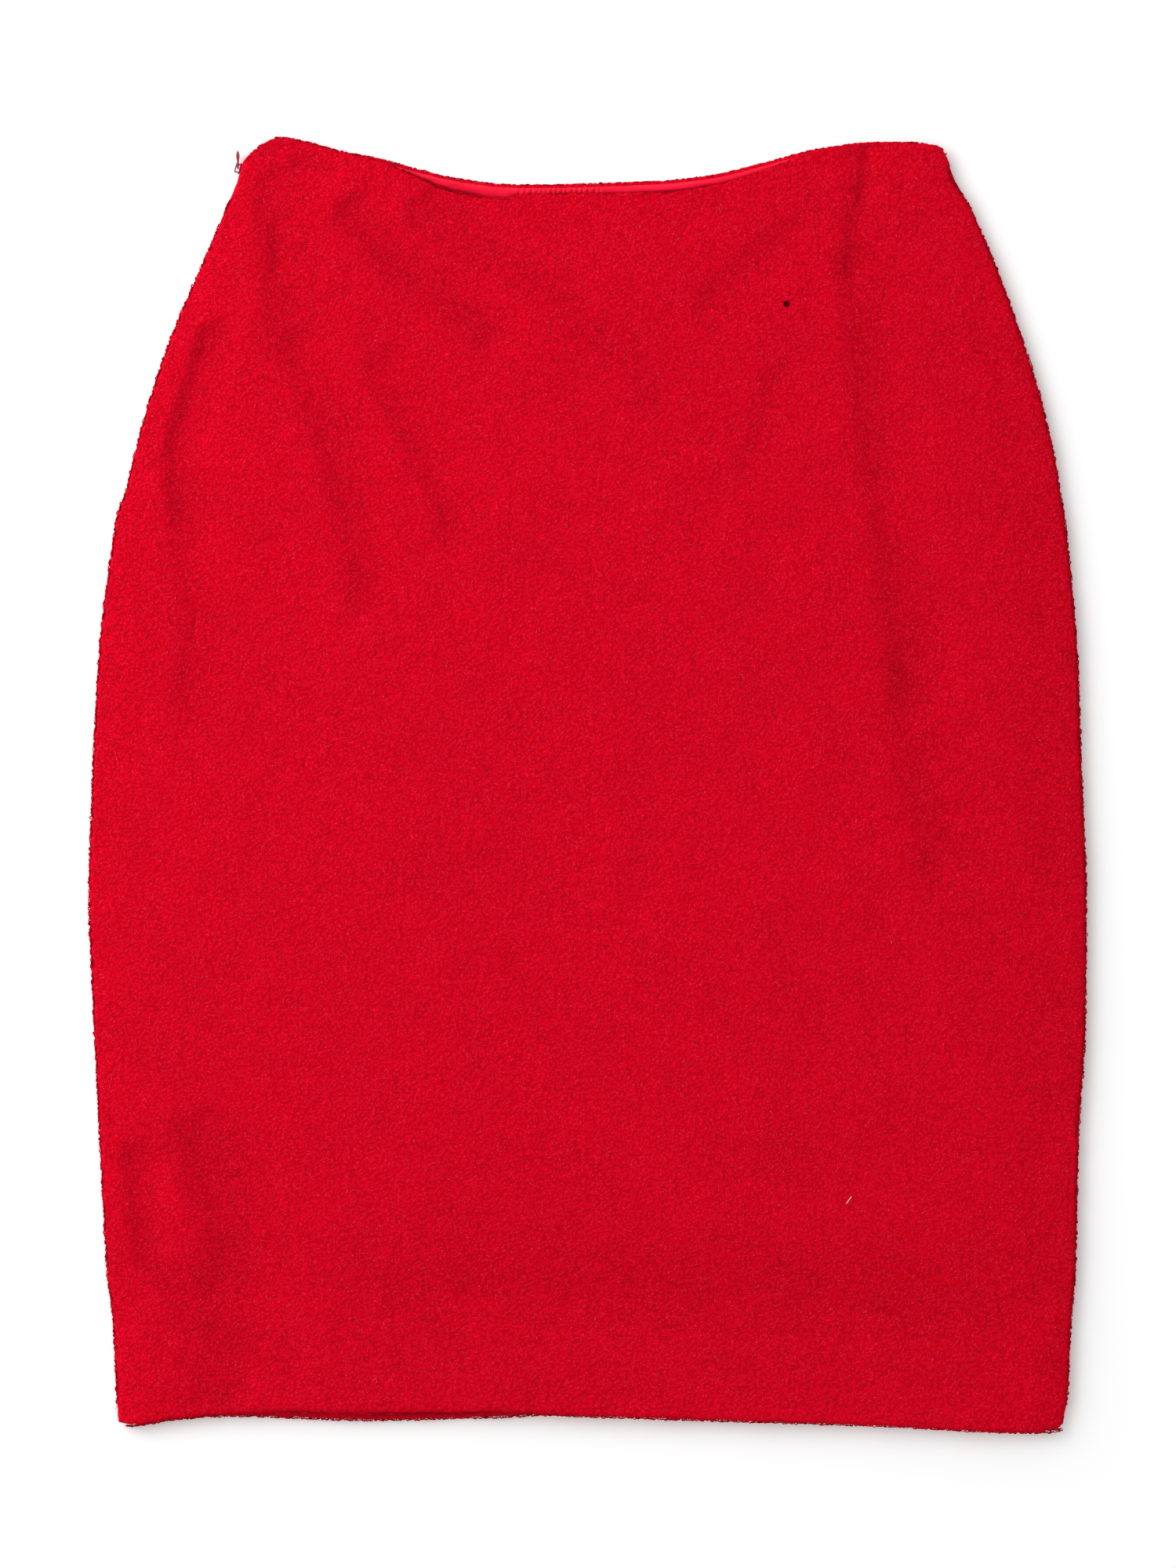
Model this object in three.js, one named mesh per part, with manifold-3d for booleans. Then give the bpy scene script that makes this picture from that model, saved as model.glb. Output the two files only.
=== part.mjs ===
// A knee-length pencil skirt of nubby cloth, laid flat with its front side up.
// Millimetres: X runs across the skirt, Y from the hem to the waist, and Z up from the surface it lies on.
import * as THREE from 'three';
import { mergeVertices } from 'three/addons/utils/BufferGeometryUtils.js';
import Module from 'manifold-3d';

const { clamp, degToRad, lerp, smoothstep } = THREE.MathUtils;

// Cloth and seams
const CLOTH = 1.8;
const SEAM_GAP = 0.3;
const SEAM_HEIGHT = 3.8;
const SIDE_BEND = 2.4;
const BEND_SPAN = 1.93;
const FRONT_SHOULDER = 17;
const BACK_SHOULDER = 10;
const EDGE_ROUNDING = 0.5;

// Hem allowance, turned up inside
const HEM_ALLOWANCE = 44;
const ALLOWANCE_FROM_SEAM = 7;
const ALLOWANCE_FULL_FROM_SEAM = 16;
const ALLOWANCE_PRESSED = 1.1;
const FOLD_STEPS = 4;

// Heights of the front's outer side as it lies
const BODY_HEIGHT = 7.2;
const SHOULDER = { rise: 0.3, from: 22, to: 70 };
const WAIST_DIP = { depth: 0.9, from: 4, to: 45, sideFrom: 14, sideTo: 50 };
const RELIEF_SIDE = { from: 3, to: 18 };
const HEM_BAND_RISE = 1.6;
const BAND_EDGE = { from: HEM_ALLOWANCE + 1, to: HEM_ALLOWANCE + 9 };
const GROOVE = { up: 55, depth: 0.9, width: 11, left: -90, right: 192, fade: 60 };
const LOWEST_BODY = 5.3;
const LOWEST_BAND = 8.3;

// Facing inside the back's waist
const FACING = { thickness: 1, depth: 45, below: 1, fromSeam: 16, steps: 24 };

// Zip in the seam at the left
const ZIP = { top: 293.5, bottom: 142, fromEdge: 3.1, width: 10, thickness: 1, bevel: 0.35, steps: 14 };
const SLIDER = {
  y: 298.4, tilt: 14, opening: 0.65, opensFrom: 292, opensTo: 295.4,
  plate: { from: -0.8, to: -0.3, length: 5.6, width: 3 },
  neck: { to: 2.2, length: 3.6, thickness: 0.6 },
  foot: { from: 2.1, to: 3.4, length: 4.6, thickness: 1.4 },
  bridge: { top: -3, roof: 0.6, length: 4.6, post: 0.75, width: 1.3 },
};
const PULL = { pivot: -1.6, thickness: 0.8, bevel: 0.15, steps: 16, hole: { half: 1, from: 0.4, to: 3.2 } };

// Half the pull's width, along its length from the pivot
const PULL_OUTLINE = [
  { along: -0.4, half: 1.25 },
  { along: 0.3, half: 1.75 },
  { along: 2.2, half: 1.7 },
  { along: 3.9, half: 1.5 },
  { along: 6.4, half: 2.15 },
  { along: 8.2, half: 1.4 },
  { along: 8.8, half: 0.45 },
];

// The two sides of the skirt's outline
const OUTLINE = [
  { y: -314, left: -226.5, right: 229.3 },
  { y: -296, left: -228.2, right: 232.4 },
  { y: -265, left: -229.4, right: 233.9 },
  { y: -235, left: -232.8, right: 236.2 },
  { y: -174, left: -236.2, right: 237.7 },
  { y: -114, left: -239.2, right: 241.1 },
  { y: -53, left: -241.5, right: 241.5 },
  { y: 8, left: -239.6, right: 239.2 },
  { y: 69, left: -236.2, right: 236.9 },
  { y: 114, left: -230.5, right: 232.8 },
  { y: 132, left: -227.6, right: 230.6 },
  { y: 140, left: -224.4, right: 229.3 },
  { y: 160, left: -219.5, right: 225.9 },
  { y: 190, left: -211.1, right: 218.7 },
  { y: 221, left: -200.1, right: 208.8 },
  { y: 251, left: -187.2, right: 197.8 },
  { y: 282, left: -173.9, right: 184.1 },
  { y: 297, left: -168.3, right: 175.4 },
  { y: 301, left: -167.4, right: 176.1 },
];

// The waist edges, across from the left seam (0) to the right one (1)
const WAIST = [
  { across: 0, back: 300.8, front: 300.6 },
  { across: 0.008, back: 304.4, front: 303.6 },
  { across: 0.028, back: 310.1, front: 309.2 },
  { across: 0.055, back: 313.7, front: 312.8 },
  { across: 0.087, back: 311.8, front: 310.9 },
  { across: 0.138, back: 307, front: 306.2 },
  { across: 0.185, back: 304, front: 302.2 },
  { across: 0.252, back: 297.9, front: 293.4 },
  { across: 0.291, back: 294.6, front: 287.3 },
  { across: 0.369, back: 291, front: 282.9 },
  { across: 0.4, back: 290.7, front: 285.4 },
  { across: 0.588, back: 292.5, front: 286.1 },
  { across: 0.664, back: 295.4, front: 289.6 },
  { across: 0.739, back: 301.6, front: 297.2 },
  { across: 0.816, back: 308.2, front: 307 },
  { across: 0.891, back: 311.2, front: 310.4 },
  { across: 0.93, back: 311.2, front: 310.5 },
  { across: 0.982, back: 309.3, front: 308.5 },
  { across: 1, back: 299.8, front: 299.6 },
];

// The hem edges, across from the left seam (0) to the right one (1)
const HEM = [
  { across: 0, back: -309.6, front: -309 },
  { across: 0.012, back: -310.8, front: -310 },
  { across: 0.057, back: -307.8, front: -307 },
  { across: 0.12, back: -305.9, front: -304.6 },
  { across: 0.19, back: -306.8, front: -303.2 },
  { across: 0.258, back: -307.8, front: -304 },
  { across: 0.41, back: -306.3, front: -303.6 },
  { across: 0.46, back: -305.2, front: -304.8 },
  { across: 0.58, back: -306, front: -306.7 },
  { across: 0.785, back: -309, front: -309.7 },
  { across: 0.976, back: -312.8, front: -313.5 },
  { across: 0.993, back: -311.8, front: -312.4 },
  { across: 1, back: -309.6, front: -310 },
];

// The front's largest folds: a soft trough or ridge along each line, full width and height in millimetres
const FOLDS = [
  { name: 'right dart', line: [[131, 306], [131, 284], [128, 255]], width: 22, rise: -0.9 },
  { name: 'right crease', line: [[128, 252], [144, 130], [155, 50]], width: 30, rise: -1.9 },
  { name: 'right crease end', line: [[155, 50], [164, 0], [177, -57]], width: 34, rise: -0.8 },
  { name: 'left dart', line: [[-156, 290], [-151, 262], [-148, 226]], width: 24, rise: -1.6 },
  { name: 'left dart end', line: [[-141, 212], [-121, 156], [-108, 99]], width: 30, rise: -0.8 },
  { name: 'zip end crease', line: [[-184, 216], [-200, 160], [-196, 130]], width: 24, rise: -1.3 },
  { name: 'left side', line: [[-194, 112], [-189, 80], [-194, 38]], width: 28, rise: -0.6 },
  { name: 'first drag line', line: [[-116, 277], [-94, 253], [-49, 221]], width: 28, rise: -1.3 },
  { name: 'second drag line', line: [[-80, 278], [-19, 240], [31, 194]], width: 30, rise: -0.7 },
  { name: 'short drag line', line: [[-102, 202], [-82, 165], [-66, 130]], width: 30, rise: -0.6 },
  { name: 'right drag line', line: [[95, 266], [80, 254], [60, 236]], width: 28, rise: -0.6 },
  { name: 'right of centre', line: [[90, 196], [86, 176], [80, 156]], width: 28, rise: -0.5 },
  { name: 'left leg', line: [[-222, -182], [-215, -224], [-192, -252]], width: 26, rise: -0.9 },
  { name: 'right leg', line: [[-190, -170], [-174, -215], [-186, -288]], width: 28, rise: -0.9 },
  { name: 'tongue', line: [[-203, -190], [-200, -210], [-201, -228]], width: 22, rise: 0.2 },
];

// How finely each panel is divided, at set distances from its edges and evenly between them
const FRONT_GRID = {
  fromSeam: [0, 0.32, 1.2, BEND_SPAN, 4, 7, 11, 16, 23, 32],
  columnsBetween: 28,
  fromWaist: [0, 1.5, 6, 14, 26],
  rowsBetween: 24,
  fromHem: [68, 60, 52, HEM_ALLOWANCE, 27, 10],
};
const BACK_GRID = {
  fromSeam: [0, 0.32, 1.2, BEND_SPAN, 4, 7, 12, 16],
  columnsBetween: 20,
  fromWaist: [0, 1.5, 8, 20],
  rowsBetween: 20,
  fromHem: [HEM_ALLOWANCE, 27, 10],
};

// The step over which a surface's slope is measured
const NUDGE = 0.2;

// Colours and surfaces
const CLOTH_FINISH = new THREE.MeshStandardMaterial({ color: 0xd00621, roughness: 0.95, metalness: 0 });
const SATIN_FINISH = new THREE.MeshStandardMaterial({ color: 0xe01a3c, roughness: 0.5, metalness: 0 });
const TAPE_FINISH = new THREE.MeshStandardMaterial({ color: 0xb00a26, roughness: 0.85, metalness: 0 });
const PULL_FINISH = new THREE.MeshStandardMaterial({ color: 0x8c1c34, roughness: 0.35, metalness: 0.6 });

const wasm = await Module();
wasm.setup();

// A smooth curve through a table's rows, of one column over another, that never overshoots them
function through(rows, along, column) {
  const at = rows.map((row) => row[along]);
  const value = rows.map((row) => row[column]);
  const rise = value.slice(1).map((next, i) => (next - value[i]) / (at[i + 1] - at[i]));
  const slope = value.map((_, i) => {
    const before = rise[i - 1] ?? rise[i];
    const after = rise[i] ?? rise[i - 1];
    return before * after > 0 ? (2 * before * after) / (before + after) : 0;
  });
  return (place) => {
    const t = clamp(place, at[0], at.at(-1));
    const i = clamp(at.findLastIndex((start) => start <= t), 0, rise.length - 1);
    const step = at[i + 1] - at[i];
    const k = (t - at[i]) / step;
    const ease = k * k * (3 - 2 * k);
    return lerp(value[i], value[i + 1], ease)
      + step * k * (1 - k) * (slope[i] * (1 - k) - slope[i + 1] * k);
  };
}

const leftSide = through(OUTLINE, 'y', 'left');
const rightSide = through(OUTLINE, 'y', 'right');
const WAIST_PLACE = OUTLINE.at(-1);
const HEM_PLACE = OUTLINE[1];

function edgeCurve(table, side, place) {
  const curve = through(table, 'across', side);
  return {
    width: place.right - place.left,
    across: curve,
    atX: (x) => curve((x - place.left) / (place.right - place.left)),
  };
}

const EDGES = {
  front: { waist: edgeCurve(WAIST, 'front', WAIST_PLACE), hem: edgeCurve(HEM, 'front', HEM_PLACE) },
  back: { waist: edgeCurve(WAIST, 'back', WAIST_PLACE), hem: edgeCurve(HEM, 'back', HEM_PLACE) },
};

// Distance from a point to a fold's line, as a fraction of half its width, fading past the line's ends
function foldReach(fold, x, y) {
  let nearest = Infinity;
  for (let i = 1; i < fold.line.length; i += 1) {
    const [ax, ay] = fold.line[i - 1];
    const [bx, by] = fold.line[i];
    const length = Math.hypot(bx - ax, by - ay);
    const along = clamp(((x - ax) * (bx - ax) + (y - ay) * (by - ay)) / length ** 2, 0, 1);
    nearest = Math.min(nearest, Math.hypot(x - lerp(ax, bx, along), y - lerp(ay, by, along)));
  }
  return nearest / (fold.width / 2);
}

function foldRelief(x, y) {
  return FOLDS.reduce((sum, fold) => {
    const reach = foldReach(fold, x, y);
    return reach < 1 ? sum + fold.rise * (0.5 + 0.5 * Math.cos(Math.PI * reach)) : sum;
  }, 0);
}

function fromSide(x, y) {
  return Math.max(Math.min(x - leftSide(y), rightSide(y) - x), 0);
}

// Height of the front's outer side away from its side seams
function frontPlateau(x, y) {
  const side = fromSide(x, y);
  const down = EDGES.front.waist.atX(x) - y;
  const up = y - EDGES.front.hem.atX(x);
  const shoulder = SHOULDER.rise * (1 - smoothstep(side, SHOULDER.from, SHOULDER.to));
  const waist = WAIST_DIP.depth * (1 - smoothstep(down, WAIST_DIP.from, WAIST_DIP.to))
    * smoothstep(side, WAIST_DIP.sideFrom, WAIST_DIP.sideTo);
  const inBand = 1 - smoothstep(up, BAND_EDGE.from, BAND_EDGE.to);
  const ends = smoothstep(x - GROOVE.left, -GROOVE.fade / 2, GROOVE.fade / 2)
    * smoothstep(GROOVE.right - x, -GROOVE.fade / 2, GROOVE.fade / 2);
  const groove = GROOVE.depth * Math.exp(-(((up - GROOVE.up) / GROOVE.width) ** 2)) * (1 - inBand) * ends;
  const relief = foldRelief(x, y) * smoothstep(side, RELIEF_SIDE.from, RELIEF_SIDE.to);
  const height = BODY_HEIGHT + shoulder - waist - groove + HEM_BAND_RISE * inBand + relief;
  return Math.max(height, lerp(LOWEST_BODY, LOWEST_BAND, inBand));
}

// Half the gap between the two panels at the side seams, opened at the left where the slider passes
function seamOpening(x, y) {
  const wide = x < 0 ? smoothstep(y, SLIDER.opensFrom, SLIDER.opensTo) : 0;
  return lerp(SEAM_GAP / 2, SLIDER.opening, wide);
}

// Rise of a panel's outer side from its seam: a round bend, then a shoulder that levels out at the plateau
function rollHeight(side, plateau, shoulder) {
  const bend = Math.sqrt(SIDE_BEND ** 2 - (SIDE_BEND - Math.min(side, BEND_SPAN)) ** 2);
  const rest = clamp(1 - (side - BEND_SPAN) / shoulder, 0, 1);
  return side < BEND_SPAN ? bend : plateau - (plateau - bend) * rest ** 2;
}

function frontHeight(x, y) {
  const start = SEAM_HEIGHT + seamOpening(x, y);
  return start + rollHeight(fromSide(x, y), frontPlateau(x, y) - start, FRONT_SHOULDER);
}

function backHeight(x, y) {
  const start = SEAM_HEIGHT - seamOpening(x, y);
  return start - rollHeight(fromSide(x, y), start, BACK_SHOULDER);
}

// A panel's outer side at a point: its place, and the direction that it faces
function outerSide(panel, x, y) {
  const { height, facing } = panel;
  const side = fromSide(x, y);
  const outward = x - leftSide(y) < rightSide(y) - x ? -1 : 1;
  const point = new THREE.Vector3(x, y, height(x, y));
  if (side < BEND_SPAN) {
    const flat = (SIDE_BEND - side) / SIDE_BEND;
    return { point, normal: new THREE.Vector3(outward * flat, 0, facing * Math.sqrt(1 - flat ** 2)) };
  }
  const alongX = (height(x + NUDGE, y) - height(x - NUDGE, y)) / (2 * NUDGE);
  const alongY = (height(x, y + NUDGE) - height(x, y - NUDGE)) / (2 * NUDGE);
  return { point, normal: new THREE.Vector3(-alongX, -alongY, 1).normalize().multiplyScalar(facing) };
}

// Places along a line of some length: set distances from each end, and even steps between
function placesAlong(fromStart, between, fromEnd) {
  const first = fromStart.at(-1);
  const last = fromEnd[0];
  const middle = Array.from({ length: between - 1 }, (_, i) => (length) => (
    lerp(first, length - last, (i + 1) / between)
  ));
  return [
    ...fromStart.map((distance) => () => distance),
    ...middle,
    ...fromEnd.map((distance) => (length) => length - distance),
  ];
}

// Thickness of the hem allowance, pressed thinner towards the side seams
function allowanceThickness(side) {
  return lerp(ALLOWANCE_PRESSED, CLOTH, smoothstep(side, ALLOWANCE_FROM_SEAM, ALLOWANCE_FULL_FROM_SEAM));
}

// One column of a panel, from waist to hem: the wall's two sides, and the turned-up allowance where it has one
function panelColumn(panel, column) {
  const { waist, hem } = panel.edges;
  const top = waist.across(column(waist.width) / waist.width);
  const bottom = hem.across(column(hem.width) / hem.width);
  const side = Math.min(column(hem.width), hem.width - column(hem.width));
  const folded = side >= ALLOWANCE_FROM_SEAM;
  const stack = CLOTH + SEAM_GAP + allowanceThickness(side);
  const lowest = folded ? stack / 2 : EDGE_ROUNDING;
  const rows = placesAlong(panel.grid.fromWaist, panel.grid.rowsBetween, [...panel.grid.fromHem, lowest]);
  const outer = rows.map((row) => {
    const y = top - row(top - bottom);
    return outerSide(panel, leftSide(y) + column(rightSide(y) - leftSide(y)), y);
  });
  const inside = ({ point, normal }, depth) => point.clone().addScaledVector(normal, -depth);
  const wall = outer.map(({ point }) => point);
  const lining = outer.map((place) => inside(place, CLOTH)).reverse();
  const rim = wall[0].clone().add(lining.at(-1)).multiplyScalar(0.5);
  rim.y += EDGE_ROUNDING;
  const end = outer.at(-1);
  const round = Array.from({ length: FOLD_STEPS - 1 }, (_, i) => {
    const turn = (Math.PI * (i + 1)) / FOLD_STEPS;
    const point = inside(end, (stack / 2) * (1 - Math.cos(turn)));
    point.y -= (stack / 2) * Math.sin(turn);
    return point;
  });
  const turned = outer.slice(-1 - panel.grid.fromHem.filter((distance) => distance <= HEM_ALLOWANCE).length);
  const under = turned.map((place) => inside(place, stack)).reverse();
  const over = turned.map((place) => inside(place, CLOTH + SEAM_GAP));
  const slit = inside(end, CLOTH + SEAM_GAP / 2);
  slit.y -= SEAM_GAP / 2;
  return { rim, wall, lining, folded, allowance: [...round, ...under, ...over, slit] };
}

// Collects points and faces into one closed mesh, turned so that its faces look outwards
class Solid {
  constructor() {
    this.points = [];
    this.faces = [];
  }

  add(point) {
    return this.points.push(point) - 1;
  }

  quad(a, b, c, d) {
    this.faces.push([a, b, c], [a, c, d]);
  }

  band(first, second) {
    first.forEach((a, i) => {
      const next = (i + 1) % first.length;
      this.quad(a, first[next], second[next], second[i]);
    });
  }

  // Closes a loop that lies across the skirt, wound as the loop is
  cap(loop) {
    const flat = loop.map((i) => new THREE.Vector2(this.points[i].y, this.points[i].z));
    const winding = Math.sign(THREE.ShapeUtils.area(flat));
    THREE.ShapeUtils.triangulateShape(flat, []).forEach((face) => {
      const ring = face.map((i) => loop[i]);
      const same = Math.sign(THREE.ShapeUtils.area(face.map((i) => flat[i]))) === winding;
      this.faces.push(same ? ring : ring.reverse());
    });
  }

  geometry() {
    const volume = this.faces.reduce((sum, [a, b, c]) => (
      sum + this.points[a].dot(new THREE.Vector3().crossVectors(this.points[b], this.points[c]))
    ), 0);
    const faces = volume < 0 ? this.faces.map((face) => [...face].reverse()) : this.faces;
    const geometry = new THREE.BufferGeometry().setFromPoints(this.points);
    geometry.setIndex(faces.flat());
    return geometry;
  }
}

// A cloth panel: its columns joined side by side, closed at both seams and at the ends of the allowance
function panelGeometry(panel) {
  const solid = new Solid();
  const toSeam = [...panel.grid.fromSeam].reverse();
  const columns = placesAlong(panel.grid.fromSeam, panel.grid.columnsBetween, toSeam).map((place) => {
    const { rim, wall, lining, folded, allowance } = panelColumn(panel, place);
    const add = (points) => points.map((point) => solid.add(point));
    const [edge, outside, inside] = [solid.add(rim), add(wall), add(lining)];
    const turned = folded ? add(allowance) : null;
    return { plain: [edge, ...outside, ...inside], edge, outside, inside, turned };
  });
  const whole = ({ edge, outside, turned, inside }) => [edge, ...outside, ...turned, ...inside];
  const allowanceEnd = ({ outside, turned, inside }) => [outside.at(-1), ...turned, inside[0]];
  columns.slice(1).forEach((column, i) => {
    const before = columns[i];
    const both = before.turned && column.turned;
    solid.band(both ? whole(before) : before.plain, both ? whole(column) : column.plain);
    if (!before.turned && column.turned) solid.cap(allowanceEnd(column).reverse());
    if (before.turned && !column.turned) solid.cap(allowanceEnd(before));
  });
  closeSeam(solid, columns[0], true);
  closeSeam(solid, columns.at(-1), false);
  return solid.geometry();
}

// The strip of faces at a panel's side seam, from its outer edge to its inner one
function closeSeam(solid, { edge, outside, inside }, atStart) {
  const inner = [...inside].reverse();
  outside.slice(1).forEach((_, i) => {
    const strip = [outside[i], outside[i + 1], inner[i + 1], inner[i]];
    solid.quad(...(atStart ? strip.reverse() : strip));
  });
  solid.faces.push(atStart ? [inner[0], outside[0], edge] : [edge, outside[0], inner[0]]);
}

const FRONT = { edges: EDGES.front, grid: FRONT_GRID, height: frontHeight, facing: 1 };
const BACK = { edges: EDGES.back, grid: BACK_GRID, height: backHeight, facing: -1 };

// The facing lies on the back's inner side, just under its waist edge
function facingGeometry() {
  const { waist } = EDGES.back;
  const from = FACING.fromSeam / waist.width;
  const edge = Array.from({ length: FACING.steps + 1 }, (_, k) => {
    const x = WAIST_PLACE.left + waist.width * lerp(from, 1 - from, k / FACING.steps);
    return new THREE.Vector2(x, waist.atX(x));
  });
  const upper = edge.map(({ x, y }) => new THREE.Vector2(x, y - FACING.below));
  const lower = edge.map(({ x, y }) => new THREE.Vector2(x, y - FACING.below - FACING.depth)).reverse();
  const geometry = new THREE.ExtrudeGeometry(new THREE.Shape([...upper, ...lower]), {
    depth: FACING.thickness, bevelEnabled: false,
  });
  return geometry.translate(0, 0, CLOTH + SEAM_GAP);
}

// The closed zip: a coil bead behind the panels' edges with the tape behind it, down to its sewn end
function zipGeometry() {
  const solid = new Solid();
  const half = ZIP.thickness / 2;
  const section = [
    { into: ZIP.fromEdge, rise: ZIP.bevel - half },
    { into: ZIP.fromEdge + ZIP.bevel, rise: -half },
    { into: ZIP.fromEdge + ZIP.width, rise: -half },
    { into: ZIP.fromEdge + ZIP.width, rise: half },
    { into: ZIP.fromEdge + ZIP.bevel, rise: half },
    { into: ZIP.fromEdge, rise: half - ZIP.bevel },
  ];
  const rings = Array.from({ length: ZIP.steps + 1 }, (_, i) => {
    const y = lerp(ZIP.top, ZIP.bottom, i / ZIP.steps);
    return section.map(({ into, rise }) => (
      solid.add(new THREE.Vector3(leftSide(y) + into, y, SEAM_HEIGHT + rise))
    ));
  });
  rings.slice(1).forEach((ring, i) => solid.band(rings[i], ring));
  const closing = (ring, flip) => {
    ring.slice(2).forEach((_, i) => {
      const face = [ring[0], ring[i + 1], ring[i + 2]];
      solid.faces.push(flip ? face.reverse() : face);
    });
  };
  closing(rings[0], true);
  closing(rings.at(-1), false);
  return solid.geometry();
}

function toSolid(geometry) {
  const bare = geometry.clone();
  bare.deleteAttribute('normal');
  bare.deleteAttribute('uv');
  const merged = mergeVertices(bare);
  return new wasm.Manifold(new wasm.Mesh({
    numProp: 3,
    vertProperties: new Float32Array(merged.attributes.position.array),
    triVerts: new Uint32Array(merged.index.array),
  }));
}

function fromSolid(solid) {
  const mesh = solid.getMesh();
  const geometry = new THREE.BufferGeometry();
  geometry.setAttribute('position', new THREE.BufferAttribute(mesh.vertProperties, 3));
  geometry.setIndex(new THREE.BufferAttribute(mesh.triVerts, 1));
  return geometry;
}

function block(xFrom, xTo, length, thickness) {
  return new THREE.BoxGeometry(xTo - xFrom, length, thickness).translate((xFrom + xTo) / 2, 0, 0);
}

// The slider: a plate outside the seam with the pull's bridge, a neck through the seam and a foot inside
function sliderGeometry() {
  const { plate, neck, foot, bridge } = SLIDER;
  const arch = new THREE.Shape();
  const reach = bridge.length / 2;
  arch.moveTo(plate.to, -reach).lineTo(plate.to, reach).lineTo(bridge.top + bridge.roof, reach);
  arch.quadraticCurveTo(bridge.top, reach, bridge.top, reach - bridge.post);
  arch.lineTo(bridge.top, bridge.post - reach);
  arch.quadraticCurveTo(bridge.top, -reach, bridge.top + bridge.roof, -reach).closePath();
  const across = { depth: bridge.width, bevelEnabled: false, curveSegments: 4 };
  const archSolid = toSolid(new THREE.ExtrudeGeometry(arch, across).translate(0, 0, -bridge.width / 2));
  const window = block(bridge.top + bridge.roof, plate.from, 2 * (reach - bridge.post), 2 * bridge.width);
  const pieces = [
    block(plate.from, plate.to, plate.length, plate.width),
    block(plate.to, neck.to, neck.length, neck.thickness),
    block(foot.from, foot.to, foot.length, foot.thickness),
  ].map((geometry) => toSolid(geometry));
  return fromSolid(pieces.reduce((whole, part) => whole.add(part), archSolid.subtract(toSolid(window))));
}

// The pull: a teardrop tab whose window lets the bridge's post through, turning on its own cross-bar
function pullGeometry() {
  const half = through(PULL_OUTLINE, 'along', 'half');
  const edge = Array.from({ length: PULL.steps + 1 }, (_, i) => {
    const along = lerp(PULL_OUTLINE[0].along, PULL_OUTLINE.at(-1).along, i / PULL.steps);
    return new THREE.Vector2(half(along), along);
  });
  const outline = new THREE.Shape([...edge, ...edge.map(({ x, y }) => new THREE.Vector2(-x, y)).reverse()]);
  const { hole, thickness, bevel } = PULL;
  outline.holes.push(new THREE.Path([
    new THREE.Vector2(-hole.half, hole.from), new THREE.Vector2(-hole.half, hole.to),
    new THREE.Vector2(hole.half, hole.to), new THREE.Vector2(hole.half, hole.from),
  ]));
  const rounding = { bevelThickness: bevel, bevelSize: bevel, bevelOffset: -bevel, bevelSegments: 1 };
  const geometry = new THREE.ExtrudeGeometry(outline, { depth: thickness - 2 * bevel, ...rounding });
  return geometry.translate(0, 0, bevel - thickness / 2).rotateY(Math.PI / 2);
}

function piece(name, geometry, material) {
  const mesh = new THREE.Mesh(geometry, material);
  mesh.name = name;
  return mesh;
}

// The slider and its pull, at the top of the seam
function zipFittings() {
  const fittings = new THREE.Group();
  fittings.position.set(leftSide(SLIDER.y), SLIDER.y, SEAM_HEIGHT);
  fittings.rotation.z = degToRad(-SLIDER.tilt);
  const pull = piece('zip_pull', pullGeometry(), PULL_FINISH);
  pull.position.x = PULL.pivot;
  pull.rotation.z = degToRad(SLIDER.tilt);
  fittings.add(piece('zip_slider', sliderGeometry(), PULL_FINISH), pull);
  return fittings;
}

const skirt = new THREE.Group();
skirt.add(
  piece('front_panel', panelGeometry(FRONT), CLOTH_FINISH),
  piece('back_panel', panelGeometry(BACK), CLOTH_FINISH),
  piece('back_facing', facingGeometry(), SATIN_FINISH),
  piece('zip_tape', zipGeometry(), TAPE_FINISH),
  zipFittings(),
);

// The origin is the middle of the underside
const whole = new THREE.Box3().setFromObject(skirt);
const middle = whole.getCenter(new THREE.Vector3());
skirt.position.set(-middle.x, -middle.y, -whole.min.z);

export default skirt;
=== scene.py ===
"""The looks of a knee-length pencil skirt of nubby red cloth, laid flat with its front side up."""

import math

import bmesh
import bpy
import numpy as np
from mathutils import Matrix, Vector


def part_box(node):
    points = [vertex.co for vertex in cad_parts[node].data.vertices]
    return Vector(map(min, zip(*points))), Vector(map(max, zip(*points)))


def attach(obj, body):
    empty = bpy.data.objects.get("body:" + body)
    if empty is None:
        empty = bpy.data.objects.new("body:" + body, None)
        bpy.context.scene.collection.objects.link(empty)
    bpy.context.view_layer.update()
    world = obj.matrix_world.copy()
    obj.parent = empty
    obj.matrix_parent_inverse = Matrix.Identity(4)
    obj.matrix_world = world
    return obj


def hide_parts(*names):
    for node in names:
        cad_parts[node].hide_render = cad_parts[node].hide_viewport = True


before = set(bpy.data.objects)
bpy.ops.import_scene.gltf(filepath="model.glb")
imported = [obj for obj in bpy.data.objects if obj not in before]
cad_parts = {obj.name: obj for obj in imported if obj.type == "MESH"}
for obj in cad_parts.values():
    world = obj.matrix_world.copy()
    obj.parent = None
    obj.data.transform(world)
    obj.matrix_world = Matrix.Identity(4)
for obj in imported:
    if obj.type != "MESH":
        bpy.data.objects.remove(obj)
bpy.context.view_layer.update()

# Sizes below are millimetres unless a line says otherwise, in the frame of the solids:
# X across, Y from hem to waist, Z up.
# The tables' Y is CENTRE_Y more than the scene's.
MM = 0.001
CENTRE_Y = 0.121

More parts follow.
